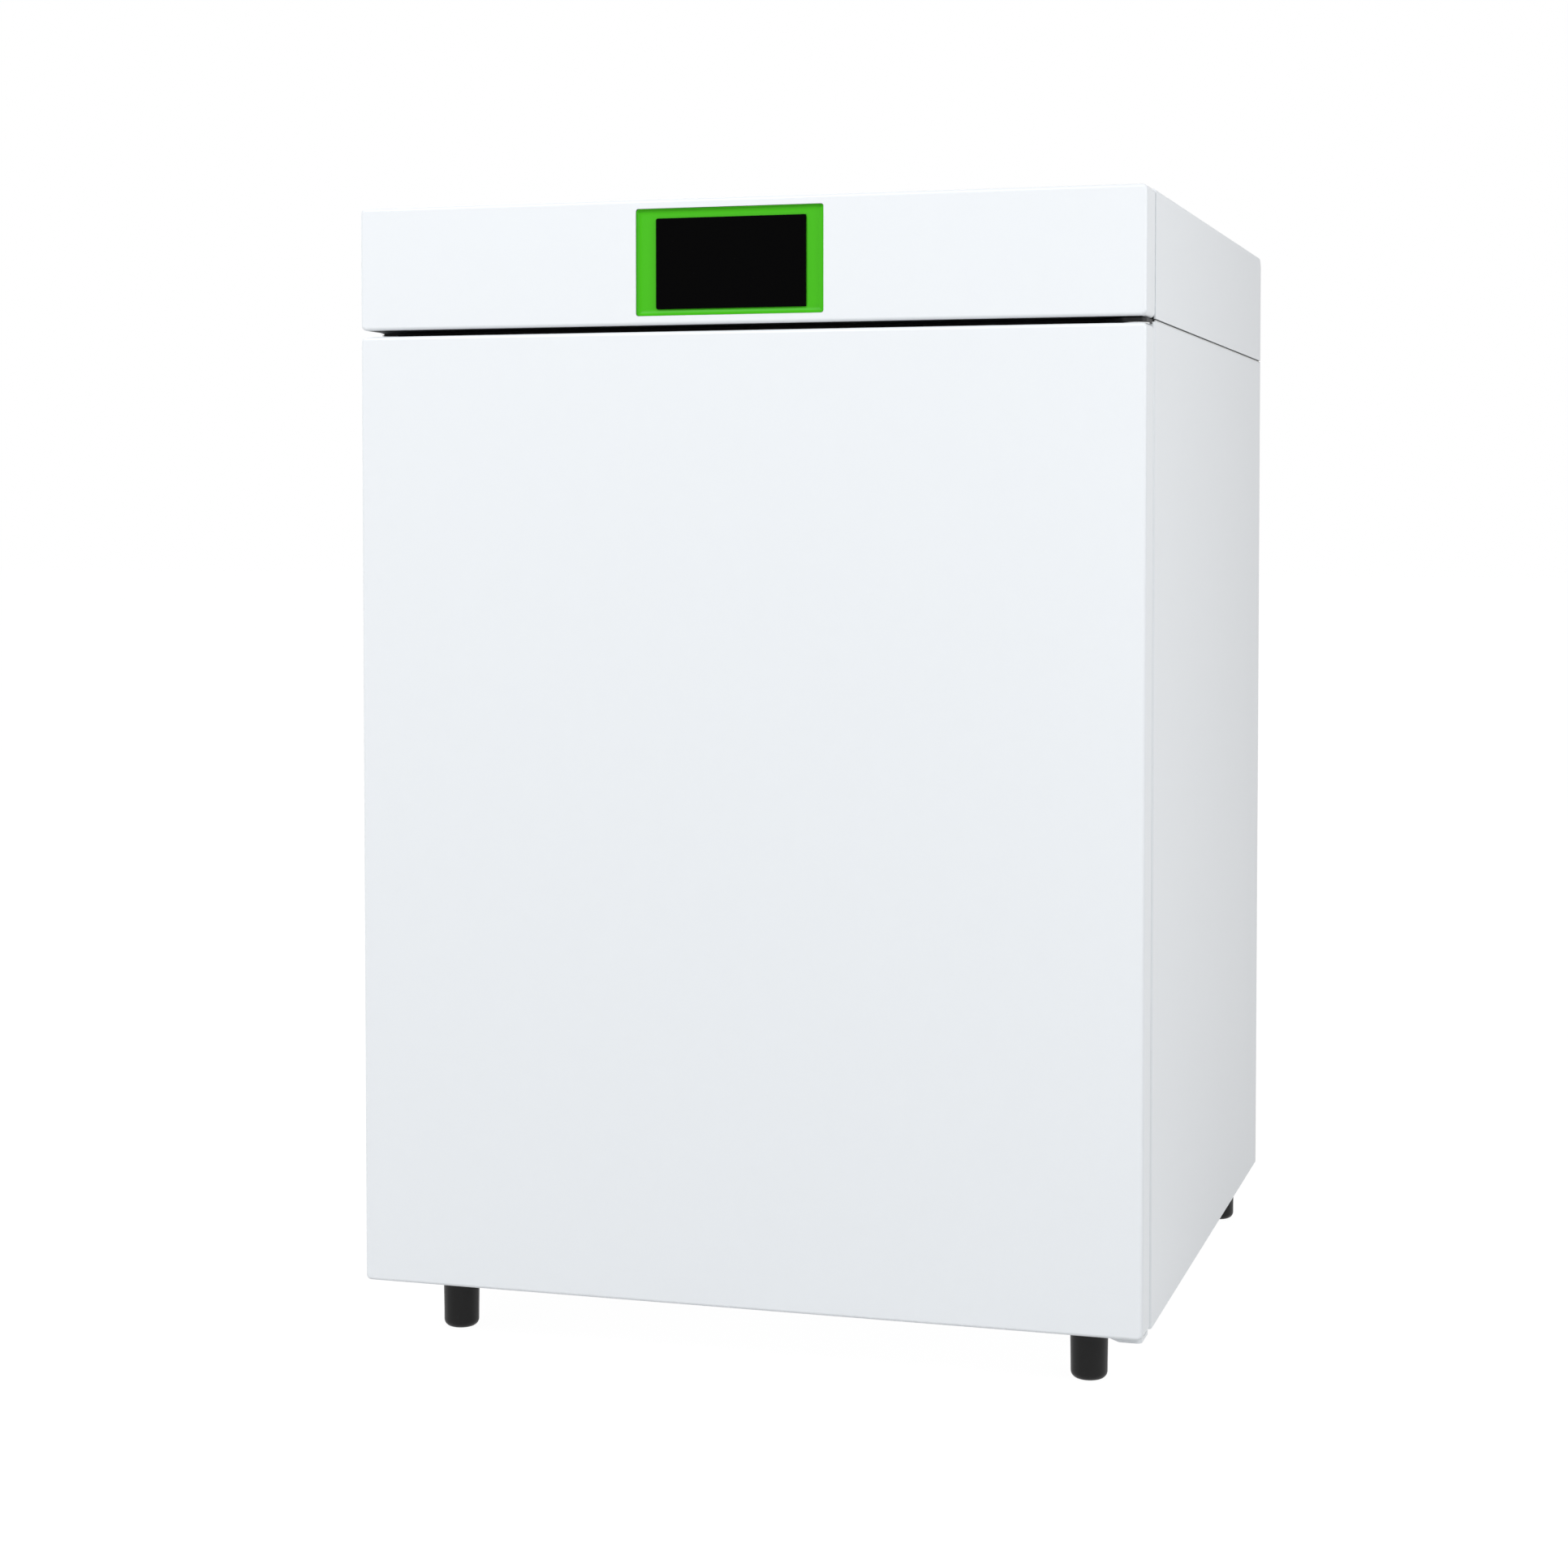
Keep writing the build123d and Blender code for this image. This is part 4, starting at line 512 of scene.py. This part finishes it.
@dataclass
class Chamber:
    """The stainless chamber and what stands in it."""

    cover_screw: Screw = Screw(radius=0.0032, height=0.0016)
    cover_screw_inset: float = 0.03
    pleats: int = 22
    pleat_depth: float = 0.0012
    paper_thickness: float = 0.0004
    disc_setback: float = 0.0006
    disc_inset: float = 0.0045
    disc_sides: int = 32

    def build(self, shop: Workshop) -> None:
        """Dresses the chamber and adds the filter's pleats and the cover's screws.

        Args:
            shop: the workshop that makes the pieces.
        """
        shop.dress(STEEL_UPWARDS, "chamber_liner", "rack_left", "rack_right", "air_duct_cover")
        shop.dress(STEEL_SIDEWAYS, "shelf_bottom", "shelf_middle", "shelf_top")
        shop.dress(STEEL_BACKWARDS, "water_pan")
        shop.dress(HEATER_MAT, "heater_mats")
        shop.dress(GREY_SILICONE, "chamber_seal")
        shop.dress(BRIGHT_STEEL, "liner_studs", "fan_motor")
        shop.dress(BLACK_MOULDING, "fan_wheel")
        shop.dress(PALE_MOULDING, "air_filter", "co2_sensor", "port_tube")
        shop.dress(POLISHED_PROBE, "temperature_probe")
        shop.dress(PALE_RUBBER, "port_plug")
        self.filter_pleats(shop)
        self.cover_screws(shop)

    def filter_pleats(self, shop: Workshop) -> None:
        """Adds the disc of folded paper in the filter's shallow recess.

        Args:
            shop: the workshop that makes the pieces.
        """
        low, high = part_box("air_filter")
        centre = (low + high) / 2
        radius = (high.x - low.x) / 2 - self.disc_inset
        front = low.y + self.disc_setback
        shape = bmesh.new()
        bmesh.ops.create_grid(shape, x_segments=2 * self.pleats, y_segments=1, size=radius)
        for vert in shape.verts:
            column = round((vert.co.x + radius) / radius * self.pleats)
            vert.co.z = self.pleat_depth if column % 2 else 0.0
        for side in range(self.disc_sides):
            angle = math.tau * side / self.disc_sides
            away = Vector((math.cos(angle), math.sin(angle), 0.0))
            bmesh.ops.bisect_plane(
                shape,
                geom=shape.verts[:] + shape.edges[:] + shape.faces[:],
                plane_co=away * radius,
                plane_no=away,
                clear_outer=True,
            )
        place = Matrix.Translation((centre.x, front + self.pleat_depth, centre.z))
        bmesh.ops.transform(shape, matrix=place @ STAND_UP, verts=shape.verts)
        bmesh.ops.solidify(shape, geom=shape.faces[:], thickness=self.paper_thickness)
        shop.add("filter_pleats", shape, FILTER_PAPER, "cabinet")

    def cover_screws(self, shop: Workshop) -> None:
        """Adds the four screws that hold the air duct cover on its posts.

        Args:
            shop: the workshop that makes the pieces.
        """
        low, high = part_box("air_duct_cover")
        inset = self.cover_screw_inset
        places = [
            Vector((x, low.y, z))
            for x in (low.x + inset, high.x - inset)
            for z in (low.z + inset, high.z - inset)
        ]
        shape = screw_set(places, Facing.FRONT, self.cover_screw)
        shop.add("cover_screws", shape, BRIGHT_STEEL, "cabinet")


@dataclass
class OuterDoor:
    """The insulated outer door, all of whose pieces are CAD nodes."""

    def build(self, shop: Workshop) -> None:
        """Dresses the door's shell, core, panel, gasket, bushes and finger pull.

        Args:
            shop: the workshop that makes the pieces.
        """
        shop.dress(WHITE_COAT, "door_skin", "door_panel")
        shop.dress(RIGID_FOAM, "door_insulation")
        shop.dress(PALE_RUBBER, "door_gasket")
        shop.dress(PALE_MOULDING, "door_bushes")
        shop.dress(BLACK_MOULDING, "door_pull")


@dataclass
class GlassDoor:
    """The inner glass door with its hinges, latch and keeper."""

    fitting_screw: Screw = Screw(radius=0.0026, height=0.0013)
    keeper_screw_reach: float = 0.009
    keeper_plate: float = 0.003
    keeper_screw_heights: tuple[float, float] = (0.22, 0.78)

    def build(self, shop: Workshop) -> None:
        """Dresses the glass door and adds the screws of its latch and keeper.

        Args:
            shop: the workshop that makes the pieces.
        """
        shop.dress(PANE_GLASS, "glass_pane")
        shop.dress(STEEL_UPWARDS, "glass_clamps", "glass_brackets", "latch_keeper")
        shop.dress(BRIGHT_STEEL, "latch_boss")
        shop.dress(BLACK_MOULDING, "glass_latch")
        shop.dress(PALE_MOULDING, "door_sensor")
        self.keeper_screws(shop)
        self.latch_screw(shop)

    def latch_screw(self, shop: Workshop) -> None:
        """Adds the screw in the middle of the turning latch.

        Args:
            shop: the workshop that makes the pieces.
        """
        low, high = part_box("latch_boss")
        middle = (low + high) / 2
        latch_low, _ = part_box("glass_latch")
        seat = Vector((middle.x, latch_low.y, middle.z))
        shape = screw_set([seat], Facing.FRONT, self.fitting_screw)
        shop.add("latch_screw", shape, BRIGHT_STEEL, "latch")

    def keeper_screws(self, shop: Workshop) -> None:
        """Adds the two screws that hold the latch keeper to the recess wall.

        Args:
            shop: the workshop that makes the pieces.
        """
        low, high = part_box("latch_keeper")
        places = [
            Vector((
                low.x + self.keeper_plate,
                low.y + self.keeper_screw_reach,
                low.z + share * (high.z - low.z),
            ))
            for share in self.keeper_screw_heights
        ]
        shape = screw_set(places, Facing.RIGHT, self.fitting_screw)
        shop.add("keeper_screws", shape, BRIGHT_STEEL, "cabinet")


@dataclass(frozen=True)
class UprightLoop:
    """A rectangle with round corners, standing across the depth."""

    low: Vector
    high: Vector
    depth: float
    radius: float
    arc_steps: int = 6

    def add_to(self, shape: bmesh.types.BMesh) -> Edges:
        """Adds the loop's edges.

        Args:
            shape: the mesh that they go into.

        Returns:
            The edges.
        """
        middle = (self.low + self.high) / 2
        half = ((self.high.x - self.low.x) / 2, (self.high.z - self.low.z) / 2, 1.0, 1.0)
        upright = Matrix.Translation((middle.x, self.depth, middle.z)) @ STAND_UP
        place = upright @ Matrix.Diagonal(half)
        known = set(shape.faces)
        made = bmesh.ops.create_grid(shape, x_segments=1, y_segments=1, size=1.0, matrix=place)
        bmesh.ops.bevel(
            shape,
            geom=made["verts"],
            offset=self.radius,
            affect="VERTICES",
            segments=self.arc_steps,
            profile=0.5,
            material=-1,
        )
        plate = next(face for face in shape.faces if face not in known)
        edges = plate.edges[:]
        bmesh.ops.delete(shape, geom=[plate], context="FACES_ONLY")
        return edges


@dataclass
class ControlHead:
    """The control head with its fascia, display, electrics and rear fittings."""

    hood_screw: Screw = Screw()
    hood_screw_inset: float = 0.022
    hood_screw_rise: float = 0.012
    middle_screw_x: float = 0.06
    flange_screw: Screw = Screw(radius=0.0027, height=0.0013)
    flange_screw_reach: float = 0.0205
    frame_flange: float = 0.0036
    frame_clearance: float = 0.0001
    frame_corner: float = 0.0024
    frame_lip: float = 0.0006
    glass_corner: float = 0.0005
    cove_width: float = 0.0036
    cove_depth: float = 0.0021
    cove_steps: int = 7
    # The bead is a pale strip that paints the highlight of the side panels' top edges under the
    # hood seam.
    bead_height: float = 0.0011
    bead_width: float = 0.0012
    bead_setback: float = 0.7
    bead_end_room: float = 0.004
    bead_roundness: float = 0.3
    bead_round_steps: int = 3

    def build(self, shop: Workshop) -> None:
        """Dresses the head and adds its display frame, its screws and the pale seam beads that
        paint a highlight.

        Args:
            shop: the workshop that makes the pieces.
        """
        shop.dress(WHITE_COAT, "head_hood", "fascia", "head_collar")
        # The head tray is black as painted shade at the back of the groove under the fascia.
        shop.dress(GROOVE_SHADE_COAT, "head_tray")
        # The head foam is black as painted shade in the gaps round the head.
        shop.dress(GROOVE_SHADE_FOAM, "head_foam")
        shop.dress(GREEN_MOULDING, "display_bezel")
        shop.dress(SCREEN_GLASS, "touch_screen")
        shop.dress(BLACK_MOULDING, "display_module", "mains_inlet", "switch_frame", "power_rocker")
        shop.dress(CIRCUIT_BOARD, "control_board")
        shop.dress(ZINC, "power_supply")
        shop.dress(BRASS, "gas_valve", "gas_inlet")
        shop.dress(BRIGHT_STEEL, "mains_blades")
        self.display_frame(shop)
        self.highlight_bead(shop)
        self.hood_screws(shop)
        self.flange_screws(shop)

    def frame_loops(self, low: Vector, high: Vector) -> list[UprightLoop]:
        """Gives the display frame's loops from its rear edge, over its lip, into the cove.

        Args:
            low: the low corner of the plain frame's box.
            high: its high corner.

        Returns:
            The loops, of which the first is at the rear and the last on the cove's floor.
        """
        rim = self.frame_flange + self.frame_clearance
        lip = rim + self.frame_lip
        levels = [(rim, high.y), (rim, low.y), (lip, low.y)]
        for step in range(1, self.cove_steps + 1):
            angle = math.pi / 2 * step / self.cove_steps
            inset = lip + self.cove_width * (1.0 - math.cos(angle))
            levels.append((inset, low.y + self.cove_depth * math.sin(angle)))
        return [
            UprightLoop(
                low + Vector((inset, 0.0, inset)),
                high - Vector((inset, 0.0, inset)),
                depth,
                max(self.frame_corner - (inset - rim), self.glass_corner),
            )
            for inset, depth in levels
        ]

    def display_frame(self, shop: Workshop) -> None:
        """Makes the green frame with the cove that runs round the screen.

        Args:
            shop: the workshop that makes the pieces.
        """
        low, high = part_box("display_bezel")
        glass_low, glass_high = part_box("touch_screen")
        gap = Vector((self.frame_clearance, 0.0, self.frame_clearance))
        shape = bmesh.new()
        rings = [loop.add_to(shape) for loop in self.frame_loops(low, high)]
        mouth, rear_mouth = (
            UprightLoop(glass_low - gap, glass_high + gap, depth, self.glass_corner).add_to(shape)
            for depth in (low.y + self.cove_depth, high.y)
        )
        walls = [(rings[0], rings[1]), (mouth, rear_mouth), *zip(rings[2:], rings[3:])]
        for ring, following in walls:
            bmesh.ops.bridge_loops(shape, edges=ring + following)
        # A bridge between two rings in one plane can twist, so flat rings are filled.
        for outer, inner in ((rings[1], rings[2]), (rings[-1], mouth), (rings[0], rear_mouth)):
            bmesh.ops.triangle_fill(shape, use_beauty=True, edges=outer + inner)
        shop.add("display_frame", shape, GREEN_MOULDING, "cabinet", "display_bezel")

    def highlight_bead(self, shop: Workshop) -> None:
        """Lays a pale bead on each side panel's top edge under the hood, as a painted highlight:
        the light line below the dark seam.

        Args:
            shop: the workshop that makes the pieces.
        """
        shape = bmesh.new()
        for side in ("side_panel_left", "side_panel_right"):
            low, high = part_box(side)
            outer = low.x if side.endswith("left") else high.x
            inward = 1.0 if outer < 0 else -1.0
            middle = Vector((
                outer + inward * self.bead_setback * self.bead_width,
                (low.y + high.y) / 2,
                high.z + self.bead_height / 2,
            ))
            length = high.y - low.y - self.bead_end_room
            reach = Vector((self.bead_width, length, self.bead_height))
            place = Matrix.Translation(middle) @ Matrix.Diagonal((*reach, 1.0))
            bar = bmesh.ops.create_cube(shape, size=1.0, matrix=place)
            edges = list({edge for vert in bar["verts"] for edge in vert.link_edges})
            bmesh.ops.bevel(
                shape,
                geom=edges,
                offset=self.bead_roundness * self.bead_height,
                affect="EDGES",
                segments=self.bead_round_steps,
                profile=0.5,
                material=-1,
            )
        shop.add("hood_seam_highlight_beads", shape, PALE_RUBBER, "cabinet")

    def flange_screws(self, shop: Workshop) -> None:
        """Adds the two screws of the mains inlet's flange.

        Args:
            shop: the workshop that makes the pieces.
        """
        low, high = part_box("mains_inlet")
        middle = (low + high) / 2
        places = [
            Vector((middle.x + reach, high.y, middle.z))
            for reach in (-self.flange_screw_reach, self.flange_screw_reach)
        ]
        shape = screw_set(places, Facing.REAR, self.flange_screw)
        shop.add("mains_flange_screws", shape, BRIGHT_STEEL, "cabinet")

    def hood_screws(self, shop: Workshop) -> None:
        """Adds the screws along the hood's lower rear edge.

        Args:
            shop: the workshop that makes the pieces.
        """
        low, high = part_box("head_hood")
        left, right = low.x + self.hood_screw_inset, high.x - self.hood_screw_inset
        places = [
            Vector((x, high.y, low.z + self.hood_screw_rise))
            for x in (left, self.middle_screw_x, right)
        ]
        shape = screw_set(places, Facing.REAR, self.hood_screw)
        shop.add("hood_screws", shape, BRIGHT_STEEL, "cabinet")


@dataclass(frozen=True)
class SoftBox:
    """A square area lamp."""

    name: str
    place: Point
    aim: Point
    size: float
    watts: float

    def light(self) -> None:
        """Hangs the lamp and points it."""
        lamp = bpy.data.lights.new(self.name, "AREA")
        lamp.size = self.size
        lamp.energy = self.watts
        hung = bpy.data.objects.new(self.name, lamp)
        bpy.context.scene.collection.objects.link(hung)
        hung.location = self.place
        hung.rotation_euler = (Vector(self.aim) - hung.location).to_track_quat("-Z", "Y").to_euler()
        LOG.info("lamp %s: %.0f W", self.name, self.watts)


@dataclass
class Studio:
    """The floor, the light and the camera.

    The camera's turn is in degrees about X, Y and Z. Floor glow is how much of what the
    eye sees of the floor is the floor's own light, and floor strength how bright that is.
    """

    camera_place: Point = (0.6314, -2.334, 0.6209)
    camera_turn: Point = (87.908, 0.0, 16.497)
    lens: float = 67.42
    sensor_width: float = 36.0
    shift: float = -0.10
    farthest: float = 200.0
    floor_size: float = 30.0
    floor_shade: float = 0.64
    floor_roughness: float = 0.9
    floor_glow: float = 0.86
    floor_strength: float = 1.12
    world_light: float = 0.45
    lamps: tuple[SoftBox, ...] = (
        SoftBox(
            "key_softbox", place=(-1.5, -3.2, 2.9), aim=(0.0, 0.0, 0.45), size=1.5, watts=97.0
        ),
        SoftBox(
            "right_softbox", place=(1.65, -0.9, 1.1), aim=(0.295, -0.3, 0.6), size=0.7, watts=10.5
        ),
        SoftBox(
            "rear_softbox", place=(-1.8, 3.0, 2.2), aim=(0.0, 0.0, 0.4), size=2.0, watts=42.0
        ),
    )

    def build(self) -> None:
        """Sets up the floor, the world, the lamps and the camera."""
        self.floor()
        self.world()
        for lamp in self.lamps:
            lamp.light()
        self.camera()
        bpy.context.scene.view_settings.view_transform = "Standard"

    @staticmethod
    def seen(nodes: bpy.types.Nodes, links: bpy.types.NodeLinks) -> bpy.types.NodeSocket:
        """Adds nodes that give 1 for camera, glossy and transmission rays, and else 0.

        Args:
            nodes: the tree's nodes.
            links: the tree's links.

        Returns:
            The socket with that value.
        """
        path = nodes.new("ShaderNodeLightPath")
        total = path.outputs["Is Camera Ray"]
        for name in ("Is Glossy Ray", "Is Transmission Ray"):
            either = nodes.new("ShaderNodeMath")
            either.operation = "MAXIMUM"
            links.new(total, either.inputs[0])
            links.new(path.outputs[name], either.inputs[1])
            total = either.outputs[0]
        return total

    def floor(self) -> None:
        """Lays the pale floor, which shows nearly white and keeps a soft shadow."""
        shape = bmesh.new()
        bmesh.ops.create_grid(shape, x_segments=1, y_segments=1, size=self.floor_size)
        mesh = bpy.data.meshes.new("studio_floor")
        shape.to_mesh(mesh)
        shape.free()
        floor = bpy.data.objects.new("studio_floor", mesh)
        bpy.context.scene.collection.objects.link(floor)
        made = bpy.data.materials.new("studio_floor")
        made.use_nodes = True
        nodes, links = made.node_tree.nodes, made.node_tree.links
        shader = nodes["Principled BSDF"]
        shade = self.floor_shade
        shader.inputs["Base Color"].default_value = (shade, shade, shade, 1.0)
        shader.inputs["Roughness"].default_value = self.floor_roughness
        shader.inputs["Specular IOR Level"].default_value = 0.0
        glow = nodes.new("ShaderNodeEmission")
        glow.inputs["Strength"].default_value = self.floor_strength
        mix = nodes.new("ShaderNodeMixShader")
        weight = nodes.new("ShaderNodeMath")
        weight.operation = "MULTIPLY"
        weight.inputs[1].default_value = self.floor_glow
        links.new(self.seen(nodes, links), weight.inputs[0])
        links.new(weight.outputs[0], mix.inputs["Fac"])
        links.new(shader.outputs["BSDF"], mix.inputs[1])
        links.new(glow.outputs["Emission"], mix.inputs[2])
        links.new(mix.outputs["Shader"], nodes["Material Output"].inputs["Surface"])
        mesh.materials.append(made)

    def world(self) -> None:
        """Makes the surroundings white to the eye and softly lit to the object."""
        world = bpy.data.worlds.new("studio_world")
        bpy.context.scene.world = world
        world.use_nodes = True
        nodes, links = world.node_tree.nodes, world.node_tree.links
        soft = nodes["Background"]
        soft.inputs["Color"].default_value = PURE_WHITE
        soft.inputs["Strength"].default_value = self.world_light
        white = nodes.new("ShaderNodeBackground")
        white.inputs["Color"].default_value = PURE_WHITE
        white.inputs["Strength"].default_value = 1.0
        mix = nodes.new("ShaderNodeMixShader")
        links.new(self.seen(nodes, links), mix.inputs["Fac"])
        links.new(soft.outputs["Background"], mix.inputs[1])
        links.new(white.outputs["Background"], mix.inputs[2])
        links.new(mix.outputs["Shader"], nodes["World Output"].inputs["Surface"])

    def camera(self) -> None:
        """Puts the camera where the picture was taken from."""
        lens = bpy.data.cameras.new("studio_camera")
        lens.lens = self.lens
        lens.sensor_width = self.sensor_width
        lens.shift_y = self.shift
        lens.clip_end = self.farthest
        camera = bpy.data.objects.new("studio_camera", lens)
        bpy.context.scene.collection.objects.link(camera)
        camera.location = self.camera_place
        camera.rotation_euler = [math.radians(angle) for angle in self.camera_turn]
        bpy.context.scene.camera = camera


def main() -> None:
    """Builds every sub-assembly and the studio."""
    logging.basicConfig(level=logging.INFO, format="%(name)s: %(message)s")
    shop = Workshop()
    for assembly in (Cabinet(), Chamber(), OuterDoor(), GlassDoor(), ControlHead()):
        assembly.build(shop)
    Studio().build()
    LOG.info("%d new pieces", len(shop.pieces))


if __name__ == "__main__":
    main()
